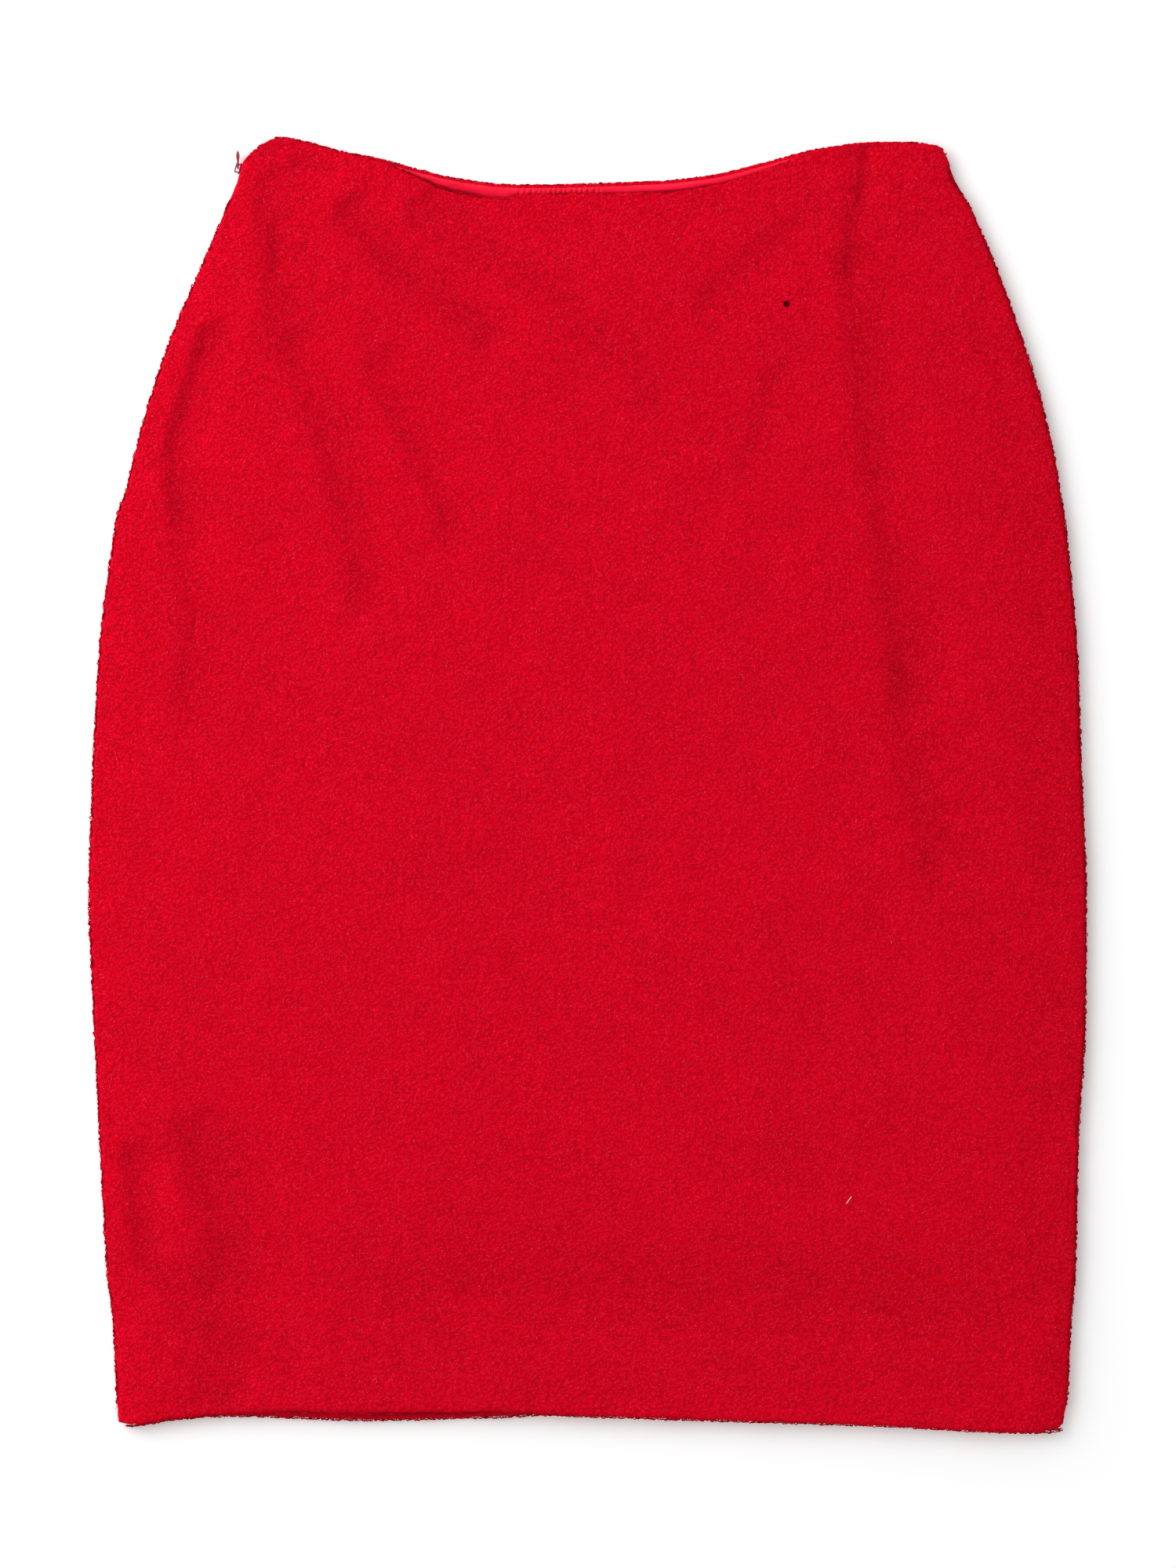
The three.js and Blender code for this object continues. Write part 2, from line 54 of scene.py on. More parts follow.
# Cloth, seams and hem, as the solids have them
CLOTH = 1.8
SEAM_GAP = 0.3
SEAM_HEIGHT = 3.8
SIDE_BEND = 2.4
BEND_SPAN = 1.93
FRONT_SHOULDER = {"left": 17, "right": 44}
BACK_SHOULDER = 10
EDGE_ROUNDING = 0.6
HEM_ALLOWANCE = 44
ALLOWANCE_FROM_SEAM = 7
ALLOWANCE_FULL_FROM_SEAM = 16
ALLOWANCE_PRESSED = 1.1

# Heights of the front's outer side
BODY_HEIGHT = 7.1
SHOULDER = {"rise": 0.7, "start": 4, "end": 60}
WAIST_DIP = {"depth": 0.9, "start": 4, "end": 45, "side_start": 14, "side_end": 50}
HEM_BAND_RISE = 0.9
BAND_EDGE = {"start": HEM_ALLOWANCE + 1, "end": HEM_ALLOWANCE + 20}
GROOVE = {"up": 53, "depth": 1.5, "above": 26, "below": 12, "left": -110, "right": 215, "fade": 70}
LOWEST_BODY = 4.6
LOWEST_BAND = 7.95
SWELLS = [(0.22, 26, 5), (0.12, 11, 6)]
SWELL_FADE = (6, 24)
FOLD_FADE = (3, 18)
BACK_FOLD_FADE = (22, 45)
WIDE_SHOULDER = {"x": (0, 100), "below": (-270, -120), "above": (-260, -235)}

# Creases are steep on the side next to the light and drawn out on the other
AWAY_FROM_LIGHT = (0.86, -0.5)
STEEP_SHARE = 0.85
DRAWN_OUT_SHARE = 2.0

# The zip's slider, where the seam opens
SLIDER_OPENS = (292, 295.4)
SLIDER_OPENING = 0.65

# The outline: height, left side and right side
OUTLINE = np.array([
    (-314, -226.5, 229.3),
    (-296, -228.2, 232.4),
    (-265, -229.4, 233.9),
    (-235, -232.8, 236.2),
    (-174, -236.2, 237.7),
    (-114, -239.2, 241.1),
    (-53, -241.5, 241.5),
    (8, -239.6, 239.2),
    (69, -236.2, 236.9),
    (114, -230.5, 232.8),
    (132, -227.6, 230.6),
    (140, -224.4, 229.3),
    (160, -219.5, 225.9),
    (190, -211.1, 218.7),
    (221, -200.1, 208.8),
    (251, -187.2, 197.8),
    (282, -173.9, 184.1),
    (297, -168.3, 175.4),
    (301, -167.4, 176.1),
])

# The waist edges: share of the way across, back and front
WAIST = np.array([
    (0, 300.8, 300.6),
    (0.008, 304.4, 303.6),
    (0.028, 310.1, 309.2),
    (0.055, 313.7, 312.8),
    (0.087, 311.8, 310.9),
    (0.138, 307, 306.2),
    (0.185, 304, 302.2),
    (0.252, 297.9, 293.4),
    (0.291, 294.6, 287.3),
    (0.369, 291, 282.9),
    (0.4, 290.7, 285.4),
    (0.588, 292.5, 286.1),
    (0.664, 295.4, 289.6),
    (0.739, 301.6, 297.2),
    (0.816, 308.2, 307),
    (0.891, 311.2, 310.4),
    (0.93, 311.2, 310.5),
    (0.982, 309.3, 308.5),
    (1, 299.8, 299.6),
])

# The hem edges: share of the way across, back and front
HEM = np.array([
    (0, -309.6, -309),
    (0.012, -310.8, -310),
    (0.057, -307.8, -307),
    (0.12, -305.9, -304.6),
    (0.19, -306.8, -303.2),
    (0.258, -307.8, -304),
    (0.41, -306.3, -303.6),
    (0.46, -305.2, -304.8),
    (0.58, -306, -306.7),
    (0.785, -309, -309.7),
    (0.976, -312.8, -313.5),
    (0.993, -311.8, -312.4),
    (1, -309.6, -310),
])

# Soft troughs and ridges of the front: a line of points, the full width and the rise
FRONT_FOLDS = [
    ([(131, 306), (131, 284), (128, 255)], 22, -0.5),
    ([(134, 306), (134, 294), (132, 282)], 9, -1.0),
    ([(128, 274), (128, 262), (127, 250)], 12, -0.7),
    ([(128, 252), (144, 130), (155, 50)], 30, -1.3),
    ([(206, 225), (226, 160), (236, 60), (238, -60), (233, -230)], 76, -1.1),
    ([(153, 60), (160, 10), (170, -30)], 36, -0.8),
    ([(160, 10), (171, -40), (182, -95)], 40, -0.5),
    ([(-156, 290), (-151, 262), (-148, 226)], 30, -1.3),
    ([(-152, 270), (-151, 262), (-150, 254)], 10, -0.9),
    ([(-141, 212), (-121, 156), (-108, 99)], 28, -1.3),
    ([(-184, 216), (-200, 160), (-196, 130)], 22, -1.9),
    ([(-194, 112), (-189, 80), (-194, 38)], 26, -0.9),
    ([(-116, 277), (-94, 253), (-49, 221)], 22, -1.8),
    ([(-80, 278), (-19, 240), (31, 194)], 26, -1.2),
    ([(-102, 202), (-82, 165), (-66, 130)], 26, -1.1),
    ([(95, 266), (80, 254), (60, 236)], 24, -1.0),
    ([(90, 196), (86, 176), (80, 156)], 24, -0.9),
    ([(-222, -182), (-215, -224), (-192, -252)], 24, -1.5),
    ([(-190, -170), (-174, -215), (-186, -288)], 40, -1.7),
    ([(-203, -190), (-200, -210), (-201, -228)], 22, 0.6),
    ([(-141, 301), (-133, 300), (-124, 297)], 7, -0.9),
    ([(-164, 307), (-159, 306), (-152, 306)], 9, -0.6),
    ([(-161, 300), (-155, 300), (-147, 301)], 8, 0.5),
    ([(174, 303), (166, 304), (152, 303)], 9, -0.6),
    ([(118, 290), (126, 289), (132, 291)], 7, 0.5),
    ([(33, 60), (30, 20), (34, -30)], 40, -0.35),
    ([(-60, 40), (-66, -20), (-58, -80)], 46, -0.3),
    ([(96, -70), (104, -120), (98, -180)], 42, -0.35),
]

# Shallow troughs pressed into the underside, away from its edges, in the same way
BACK_FOLDS = [
    ([(-92, 262), (-101, 180), (-104, 110)], 26, 0.55),
    ([(96, 258), (104, 170), (112, 60)], 30, 0.7),
    ([(-30, 230), (20, 150), (34, 70)], 34, 0.35),
    ([(-150, -40), (-142, -120), (-150, -200)], 32, 0.4),
    ([(60, -60), (92, -130), (80, -215)], 36, 0.45),
]

# Places of the points across a panel and down it: set distances at both ends, even steps between
NEAR_SEAM = [0, 0.3, 0.8, 1.35, BEND_SPAN, 3, 4.5, 6.2, 8]
NEAR_WAIST = [0, 0.5, 1.3, 2.6, 4.2]
NEAR_HEM = [4.2, 2.9, 1.4, 0]
FRONT_SPACING = 1.95
BACK_SPACING = 2.3
LINING_ROWS = 26
ALLOWANCE_ROWS = 9
FOLD_TURNS = 6

# Nubs of the cloth in the mesh: their size, and how far they stand at the edges and on the panels
NUB = {"size": 2.1, "edge": 0.5, "panel": 0.13, "edge_end": 5}
NUB_ROUNDS = {"fine_size": 0.6, "coarse": 0.65, "fine": 0.5, "per_height": 2.3}
REST_FADE = 0.4

# The waist's rounded edge: share of the way from the inner side to the outer, and share of its rise
RIM_STEPS = [(0.25, 0.72), (0.5, 1), (0.75, 0.72)]

# Arches of yarn: half their length, height and thread radius, each from least to most
EDGE_LOOP = {"pitch": 0.95, "reach": (0.5, 1.05), "rise": (0.25, 0.9), "radius": (0.25, 0.42)}
FACE_LOOP = {"count": 6400, "reach": (0.38, 0.75), "rise": (0.2, 0.4), "radius": (0.15, 0.21)}
LOOP_POINTS = 5
LOOP_SIDES = 3
LOOP_SUNK = 0.12

# Where the arches stand: kept from the corners, strewn about and clear of the slider
SIDE_FEET = {"from_hem": 6, "from_waist": 3, "stray": 0.6, "inward": 0.9, "slider_clear": 284}
RIM_FEET = {"from_left": 5, "from_right": 3, "stray": 0.6, "inner": 1.5, "beyond": 0.1}
FACE_FEET = {"low": -298, "high": 300, "from_side": 4, "from_edge": 3, "turn": 0.9}

# The facing inside the back's waist, and the puff of its edge where the front's waist lies lower
FACING = {
    "from_seam": 16, "start": 1.5, "end": 45.9, "thickness": 0.55, "above_cloth": 0.25, "height": 3.05,
}
FACING_PUFF = {"start": 1.2, "slope": 0.3, "most": 1.8, "dip": 0.6, "past_edge": 0.1}
FACING_STEP = 0.5
FACING_TICKS = {"left": -35, "right": 6, "pitch": (1.9, 3.4), "depth": 1.3, "width": 0.6}

# The zip in the seam at the left: how far in it starts, its tapes and its coil
ZIP = {"top": 293.4, "bottom": 142, "from_edge": 3.1, "width": 10.1, "tape": 0.32, "between": 0.12}
COIL = {"pitch": 1.3, "length": 0.75, "reach": 1.3, "rise": 0.46}

# The pull: half its width along its length from the pivot, and half its thickness there
PULL = np.array([
    (-0.4, 1.2, 0.36),
    (0.3, 1.75, 0.4),
    (2.2, 1.7, 0.4),
    (3.9, 1.5, 0.5),
    (6.4, 2.15, 0.78),
    (8.2, 1.4, 0.6),
    (8.8, 0.35, 0.3),
])
PULL_WINDOW = {"half": 0.95, "start": 0.4, "end": 3.2}
PULL_POINTS = 48
PULL_BAND = 7

# The cloth's colours: between its nubs (painted shade, also its darker tone), on its yarn and on its fibres
# (a painted highlight); how much a trough's depth darkens it, as painted shade
CLOTH_DARK_TONE_AND_SHADE = (0.415, 0.0001, 0.0045, 1)
CLOTH_RED = (0.755, 0.0001, 0.0125, 1)
CLOTH_PAINTED_HIGHLIGHT = (1.0, 0.03, 0.1, 1)
PAINTED_TROUGH_SHADE = 0.14

# The small hole in the front, not cut but painted near-black as the shade inside it: its middle, its radius
# and where its soft edge ends
HOLE = {"at": (96.3, 232.6), "radius": 1.3, "edge": 1.9}

# The room is brighter towards the upper left, where the large key light stands, in metres and watts.
# The floor glows a little, which keeps the shadows pale
SKY = {"towards": (-0.86, 0.5, 0.1), "least": 0.14, "most": 1.25}
KEY = {"from": (-1.15, 0.7, 0.82), "size": 1.7, "power": 21}
FLOOR_GLOW = 0.1

# The camera looks straight down on this place; its frame's height is the one at the seams' level
CAMERA = {"over": (0.19, 0.38), "frame_height": 760, "lens": 85, "sensor": 36}


def smoothstep(value, start, end):
    k = np.clip((value - start) / (end - start), 0, 1)
    return k * k * (3 - 2 * k)


def mix(a, b, k):
    return a + (b - a) * k


def through(at, value):
    """A smooth curve through places and values that never overshoots them."""
    rise = np.diff(value) / np.diff(at)
    before = np.concatenate([rise[:1], rise])
    after = np.concatenate([rise, rise[-1:]])
    same = before * after > 0
    slope = np.where(same, 2 * before * after / np.where(same, before + after, 1), 0)

    def curve(place):
        t = np.clip(place, at[0], at[-1])
        i = np.clip(np.searchsorted(at, t, side="right") - 1, 0, len(rise) - 1)
        step = at[i + 1] - at[i]
        k = (t - at[i]) / step
        ease = k * k * (3 - 2 * k)
        bend = step * k * (1 - k) * (slope[i] * (1 - k) - slope[i + 1] * k)
        return mix(value[i], value[i + 1], ease) + bend

    return curve


left_side = through(OUTLINE[:, 0], OUTLINE[:, 1])
right_side = through(OUTLINE[:, 0], OUTLINE[:, 2])
WAIST_ENDS = OUTLINE[-1, 1:]
HEM_ENDS = OUTLINE[1, 1:]


def edge_curve(table, column, ends):
    """An edge by share across, by X, and its ends."""
    curve = through(table[:, 0], table[:, column])
    width = ends[1] - ends[0]
    return {
        "across": curve, "ends": ends, "width": width,
        "at_x": lambda x: curve((x - ends[0]) / width),
    }


EDGES = {
    "back": {"waist": edge_curve(WAIST, 1, WAIST_ENDS), "hem": edge_curve(HEM, 1, HEM_ENDS)},
    "front": {"waist": edge_curve(WAIST, 2, WAIST_ENDS), "hem": edge_curve(HEM, 2, HEM_ENDS)},
}


def fold_relief(folds, x, y):
    """Height of the soft folds at a place."""
    total = np.zeros_like(x)
    for line, width, rise in folds:
        nearest = np.full_like(x, np.inf)
        beyond = np.zeros_like(x)
        for (ax, ay), (bx, by) in zip(line, line[1:]):
            length = (bx - ax) ** 2 + (by - ay) ** 2
            along = np.clip(((x - ax) * (bx - ax) + (y - ay) * (by - ay)) / length, 0, 1)
            off_x, off_y = x - mix(ax, bx, along), y - mix(ay, by, along)
            away = np.hypot(off_x, off_y)
            share = (off_x * AWAY_FROM_LIGHT[0] + off_y * AWAY_FROM_LIGHT[1]) / np.maximum(away, 1e-6)
            beyond = np.where(away < nearest, share, beyond)
            nearest = np.minimum(nearest, away)
        if rise < 0:
            nearest = nearest / mix(STEEP_SHARE, DRAWN_OUT_SHARE, smoothstep(beyond, -0.6, 0.6))
        reach = np.minimum(nearest / (width / 2), 1)
        total += rise * (0.5 + 0.5 * np.cos(math.pi * reach))
    return total


def value_noise(x, y, size, seed):
    """Smooth random values from -1 to 1 on a lattice of that size."""
    table = np.random.default_rng(seed).uniform(-1, 1, (256, 256))
    u, v = x / size, y / size
    i, j = np.floor(u).astype(int), np.floor(v).astype(int)
    a, b = u - i, v - j
    a, b = a * a * (3 - 2 * a), b * b * (3 - 2 * b)
    at = lambda p, q: table[(i + p) % 256, (j + q) % 256]
    return mix(mix(at(0, 0), at(1, 0), a), mix(at(0, 1), at(1, 1), a), b)


def from_side(x, y):
    return np.maximum(np.minimum(x - left_side(y), right_side(y) - x), 0)


def groove_depth(x, up):
    """Depth of the broad groove above the hem band."""
    fade = GROOVE["fade"] / 2
    ends = smoothstep(x - GROOVE["left"], -fade, fade) * smoothstep(GROOVE["right"] - x, -fade, fade)
    width = np.where(up > GROOVE["up"], GROOVE["above"], GROOVE["below"])
    return GROOVE["depth"] * np.exp(-(((up - GROOVE["up"]) / width) ** 2)) * ends


def front_plateau(x, y):
    """Height of the front's outer side away from its side seams."""
    side = from_side(x, y)
    down = EDGES["front"]["waist"]["at_x"](x) - y
    up = y - EDGES["front"]["hem"]["at_x"](x)
    shoulder = SHOULDER["rise"] * smoothstep(side, SHOULDER["start"], SHOULDER["end"])
    waist = WAIST_DIP["depth"] * (1 - smoothstep(down, WAIST_DIP["start"], WAIST_DIP["end"]))
    waist = waist * smoothstep(side, WAIST_DIP["side_start"], WAIST_DIP["side_end"])
    in_band = 1 - smoothstep(up, BAND_EDGE["start"], BAND_EDGE["end"])
    relief = fold_relief(FRONT_FOLDS, x, y) * smoothstep(side, *FOLD_FADE)
    swell = sum(rise * value_noise(x, y, size, seed) for rise, size, seed in SWELLS)
    height = BODY_HEIGHT + shoulder - waist - groove_depth(x, up) + HEM_BAND_RISE * in_band + relief
    height = height + swell * smoothstep(side, *SWELL_FADE)
    return np.maximum(height, mix(LOWEST_BODY, LOWEST_BAND, in_band))


def seam_opening(x, y):
    """Half the gap between the panels at the side seams."""
    wide = np.where(x < 0, smoothstep(y, *SLIDER_OPENS), 0)
    return mix(SEAM_GAP / 2, SLIDER_OPENING, wide)


def roll_height(side, plateau, shoulder):
    """Rise of a panel's outer side from its seam."""
    bend = np.sqrt(SIDE_BEND ** 2 - (SIDE_BEND - np.minimum(side, BEND_SPAN)) ** 2)
    rest = np.clip(1 - (side - BEND_SPAN) / shoulder, 0, 1)
    return np.where(side < BEND_SPAN, bend, plateau - (plateau - bend) * rest ** 2)


def front_height(x, y):
    start = SEAM_HEIGHT + seam_opening(x, y)
    wide = smoothstep(x, *WIDE_SHOULDER["x"]) * smoothstep(-y, *WIDE_SHOULDER["below"])
    wide = wide * smoothstep(y, *WIDE_SHOULDER["above"])
    shoulder = mix(FRONT_SHOULDER["left"], FRONT_SHOULDER["right"], wide)
    return start + roll_height(from_side(x, y), front_plateau(x, y) - start, shoulder)


def back_height(x, y):
    start = SEAM_HEIGHT - seam_opening(x, y)
    side = from_side(x, y)
    relief = fold_relief(BACK_FOLDS, x, y) * smoothstep(side, *BACK_FOLD_FADE)
    return start - roll_height(side, start, BACK_SHOULDER) + relief


PANELS = {
    "front": {
        "edges": EDGES["front"], "spacing": FRONT_SPACING, "height": front_height, "up": 1, "seed": 11,
    },
    "back": {
        "edges": EDGES["back"], "spacing": BACK_SPACING, "height": back_height, "up": -1, "seed": 23,
    },
}


def outer_side(panel, x, y):
    """Points and outward directions of a panel's outer side."""
    nudge = 0.2
    side = from_side(x, y)
    outward = np.where(x - left_side(y) < right_side(y) - x, -1, 1)
    height = panel["height"]
    z = height(x, y)
    flat = np.clip((SIDE_BEND - side) / SIDE_BEND, -1, 1)
    rolled = np.stack([outward * flat, np.zeros_like(x), panel["up"] * np.sqrt(1 - flat ** 2)], -1)
    slope_x = (height(x + nudge, y) - height(x - nudge, y)) / (2 * nudge)
    slope_y = (height(x, y + nudge) - height(x, y - nudge)) / (2 * nudge)
    level = np.stack([-slope_x, -slope_y, np.ones_like(x)], -1)
    level *= panel["up"] / np.linalg.norm(level, axis=-1, keepdims=True)
    normal = np.where((side < BEND_SPAN)[..., None], rolled, level)
    return np.stack([x, y, z], -1), normal


def place_along(index, length, start, between, end):
    """Distance along a line of its point with that index: set distances at both ends, even steps between."""
    start, end = np.array(start, float), np.array(end, float)
    from_end = len(start) + between + len(end) - 2 - index
    middle = mix(start[-1], length - end[0], (index - len(start) + 1) / between)
    first = start[np.minimum(index, len(start) - 1)]
    last = length - end[::-1][np.minimum(from_end, len(end) - 1)]
    return np.where(index < len(start), first, np.where(from_end < len(end), last, middle))


def nubs(points, amount, seed):
    """How far the cloth's nubs stand out at some points."""
    x, y = points[..., 0], points[..., 1] + NUB_ROUNDS["per_height"] * points[..., 2]
    coarse = value_noise(x, y, NUB["size"], seed)
    fine = value_noise(x, y, NUB_ROUNDS["fine_size"] * NUB["size"], seed + 1)
    return amount * (NUB_ROUNDS["coarse"] * coarse + NUB_ROUNDS["fine"] * fine)


def allowance_thickness(side):
    full = smoothstep(side, ALLOWANCE_FROM_SEAM, ALLOWANCE_FULL_FROM_SEAM)
    return mix(ALLOWANCE_PRESSED, CLOTH, full)


class Cut:
    """How the rows and columns of points lie on one panel."""

    def __init__(self, panel):
        waist, hem = panel["edges"]["waist"], panel["edges"]["hem"]
        self.panel = panel
        widest = OUTLINE[:, 2].max() - OUTLINE[:, 1].min()
        self.between = round((widest - 2 * NEAR_SEAM[-1]) / panel["spacing"])
        self.columns = np.arange(2 * len(NEAR_SEAM) + self.between - 1)
        self.top = waist["across"](self.across(waist["width"]) / waist["width"])
        self.bottom = hem["across"](self.across(hem["width"]) / hem["width"])
        side = np.minimum(self.across(hem["width"]), self.across(hem["width"])[::-1])
        self.folded = side >= ALLOWANCE_FROM_SEAM
        self.stack = CLOTH + SEAM_GAP + allowance_thickness(side)
        self.length = self.top - self.bottom - np.where(self.folded, self.stack / 2, EDGE_ROUNDING)

    def across(self, width):
        return place_along(self.columns, width, NEAR_SEAM, self.between, NEAR_SEAM[::-1])

    def lay(self, down):
        """Points and directions of the outer side, at distances down from the waist edge."""
        y = self.top - down
        left = left_side(y)
        return outer_side(self.panel, left + self.across(right_side(y) - left), y)

    def rows_down(self):
        between = round(float(self.length.mean()) / self.panel["spacing"])
        index = np.arange(len(NEAR_WAIST) + between - 1 + len(NEAR_HEM))[:, None]
        return place_along(index, self.length, NEAR_WAIST, between, NEAR_HEM)


def outer_rows(cut):
    """The outer side with its nubs, and its last row without them."""
    panel = cut.panel
    wall, normal = cut.lay(cut.rows_down())
    x, y = wall[..., 0], wall[..., 1]
    to_edge = np.minimum(np.minimum(from_side(x, y), y - cut.bottom), cut.top - y)
    amount = mix(NUB["edge"], NUB["panel"], smoothstep(to_edge, 0, NUB["edge_end"]))
    lift = nubs(wall, amount, panel["seed"])
    if panel["up"] < 0:
        lift = np.minimum(lift, wall[..., 2]) * smoothstep(wall[..., 2], 0, REST_FADE)
    return wall + normal * lift[..., None], wall[-1], normal[-1]


def lining_rows(cut):
    """The inner side, from the hem up."""
    share = 1 - np.arange(LINING_ROWS) / (LINING_ROWS - 1)
    base, normal = cut.lay(share[:, None] * cut.length)
    return base - CLOTH * normal


def hem_fold_rows(cut, last, normal):
    """The turned edge of the hem, round from the outer side."""
    turns = (np.arange(1, FOLD_TURNS) * math.pi / FOLD_TURNS)[:, None]
    half = cut.stack / 2
    fold = last - normal * (half * (1 - np.cos(turns)))[..., None]
    fold[..., 1] -= (half + nubs(fold, NUB["edge"], cut.panel["seed"] + 7)) * np.sin(turns)
    return fold


def allowance_rows(cut, last, normal):
    """The turned-up allowance: up its face, down its back, and the slit between it and the panel."""
    up = np.linspace(0, HEM_ALLOWANCE, ALLOWANCE_ROWS)[:, None]
    turned, directions = cut.lay(cut.length - up)
    under = turned - directions * cut.stack[:, None]
    over = (turned - directions * (CLOTH + SEAM_GAP))[::-1]
    slit = last - normal * (CLOTH + SEAM_GAP / 2)
    slit[:, 1] -= SEAM_GAP / 2
    return np.concatenate([under, over, slit[None]])


def waist_rim_rows(cut, outer, inner):
    """The rounded waist edge, from the inner side to the outer one."""
    seed = cut.panel["seed"] + 3
    rows = []
    for share, rise in RIM_STEPS:
        row = mix(inner, outer, share)
        row[:, 1] += rise * (EDGE_ROUNDING + nubs(row, NUB["edge"], seed))
        rows.append(row)
    return np.stack(rows)


def joined_lines(first, second, height):
    """Triangles between two lines of points that run down, taken in order of height."""
    faces = []
    i = j = 0
    while i < len(first) - 1 or j < len(second) - 1:
        more = i < len(first) - 1
        if j == len(second) - 1 or (more and height[first[i + 1]] >= height[second[j + 1]]):
            faces.append((first[i], first[i + 1], second[j]))
            i += 1
        else:
            faces.append((first[i], second[j + 1], second[j]))
            j += 1
    return faces


def shell_faces(cut, outer, allowance, closing, height):
    """Faces round each pair of columns, the allowance's ends and the two side seams."""
    faces = []
    for c in range(len(cut.columns) - 1):
        here, there = cut.folded[c], cut.folded[c + 1]
        rows = np.concatenate([outer, allowance, closing] if here and there else [outer, closing])
        a, b = rows[:, c], rows[:, c + 1]
        faces += np.stack([a, np.roll(a, -1), np.roll(b, -1), b], 1).tolist()
        if here != there:
            end = c + 1 if there else c
            ring = [outer[-1, end], *allowance[:, end], closing[0, end]]
            faces.append(ring[::-1] if there else ring)
    for c in (0, -1):
        strip = joined_lines(outer[:, c].tolist(), [outer[0, c], *closing[::-1, c].tolist()], height)
        faces += strip if c == 0 else [face[::-1] for face in strip]
    return faces


def panel_shell(name, panel):
    """A panel of cloth as one closed shell, with its hem allowance turned up inside."""
    cut = Cut(panel)
    wall, last, normal = outer_rows(cut)
    lining = lining_rows(cut)
    rim = waist_rim_rows(cut, wall[0], lining[-1])
    outer = np.concatenate([rim[1:], wall])
    allowance = np.concatenate([hem_fold_rows(cut, last, normal), allowance_rows(cut, last, normal)])
    closing = np.concatenate([lining, rim[:1]])
    points = np.concatenate([outer, allowance, closing])
    index = np.arange(points.shape[0] * points.shape[1]).reshape(points.shape[:2])
    outer, allowance, closing = np.split(index, [len(outer), len(outer) + len(allowance)])
    points = points.reshape(-1, 3)
    faces = shell_faces(cut, outer, allowance, closing, points[:, 1])
    if panel["up"] < 0:
        faces = [face[::-1] for face in faces]
    return make_mesh(name, points, faces)


def make_mesh(name, points, faces, smooth=True):
    """A mesh object from points in the tables' frame, without those that no face uses."""
    mesh = bpy.data.meshes.new(name)
    placed = (np.asarray(points, float) - (0, CENTRE_Y, 0)) * MM
    mesh.from_pydata(placed.tolist(), [], faces)
    build = bmesh.new()
    build.from_mesh(mesh)
    bmesh.ops.delete(build, geom=[v for v in build.verts if not v.link_faces], context="VERTS")
    build.to_mesh(mesh)
    build.free()
    mesh.polygons.foreach_set("use_smooth", [smooth] * len(mesh.polygons))
    thing = bpy.data.objects.new(name, mesh)
    bpy.context.scene.collection.objects.link(thing)
    return thing


def between(rng, limits, count):
    return rng.uniform(*limits, count)


def unit(vectors):
    return vectors / np.maximum(np.linalg.norm(vectors, axis=-1, keepdims=True), 1e-9)


def mark_troughs_for_painted_shade(thing, folds):
    """Writes how deep each point lies in a trough or in the groove above the hem band, which its cloth's
    material reads to paint shade there.
    """
    mesh = thing.data
    places = np.empty(3 * len(mesh.vertices))
    mesh.vertices.foreach_get("co", places)
    x, y = places.reshape(-1, 3)[:, 0] / MM, places.reshape(-1, 3)[:, 1] / MM + CENTRE_Y
    depth = np.maximum(-fold_relief(folds, x, y), 0)
    depth = depth + groove_depth(x, y - EDGES["front"]["hem"]["at_x"](x))
    trough = mesh.attributes.new("trough", "FLOAT", "POINT")
    trough.data.foreach_set("value", depth)
    return thing


def yarn_loops(name, feet, outward, along, sizes, rng):
    """Small arches of yarn that stand on the cloth, as one mesh."""
    count = len(feet)
    outward = unit(outward)
    sideways = unit(np.cross(along, outward))
    along = np.cross(outward, sideways)
    reach = between(rng, sizes["reach"], count)[:, None, None]
    rise = between(rng, sizes["rise"], count)[:, None, None]
    radius = between(rng, sizes["radius"], count)[:, None, None, None]
    turn = np.linspace(0, math.pi, LOOP_POINTS)[None, :, None]
    line = feet[:, None] - along[:, None] * reach * np.cos(turn)
    line = line + outward[:, None] * (rise * np.sin(turn) - LOOP_SUNK)
    tangent = unit(np.gradient(line, axis=1))
    angle = (np.arange(LOOP_SIDES) * 2 * math.pi / LOOP_SIDES)[None, None, :, None]
    side = sideways[:, None, None]
    up = np.cross(sideways[:, None], tangent)[:, :, None]
    ring = line[:, :, None] + radius * (np.cos(angle) * side + np.sin(angle) * up)
    ring[..., 2] = np.maximum(ring[..., 2], 0)
    index = np.arange(count * LOOP_POINTS * LOOP_SIDES).reshape(count, LOOP_POINTS, LOOP_SIDES)
    here, there = index[:, :-1], index[:, 1:]
    walls = np.stack([here, there, np.roll(there, -1, 2), np.roll(here, -1, 2)], -1).reshape(-1, 4)
    caps = np.concatenate([index[:, 0], index[:, -1, ::-1]])
    return make_mesh(name, ring.reshape(-1, 3), walls.tolist() + caps.tolist())


def side_feet(panel, rng):
    """Places along both side seams, clear of the slider."""
    low = panel["edges"]["hem"]["at_x"](0) + SIDE_FEET["from_hem"]
    high = OUTLINE[-1, 0] - SIDE_FEET["from_waist"]
    y = np.arange(low, high, EDGE_LOOP["pitch"])
    y = np.concatenate([y, y]) + rng.uniform(-SIDE_FEET["stray"], SIDE_FEET["stray"], 2 * len(y))
    on_left = np.arange(len(y)) < len(y) / 2
    inward = rng.uniform(0, SIDE_FEET["inward"], len(y))
    x = np.where(on_left, left_side(y) + inward, right_side(y) - inward)
    keep = ~(on_left & (y > SIDE_FEET["slider_clear"]))
    points, normal = outer_side(panel, x[keep], y[keep])
    count = keep.sum()
    along = np.stack([rng.uniform(-0.3, 0.3, count), np.ones(count), rng.uniform(-0.6, 0.6, count)], -1)
    return points, normal, along


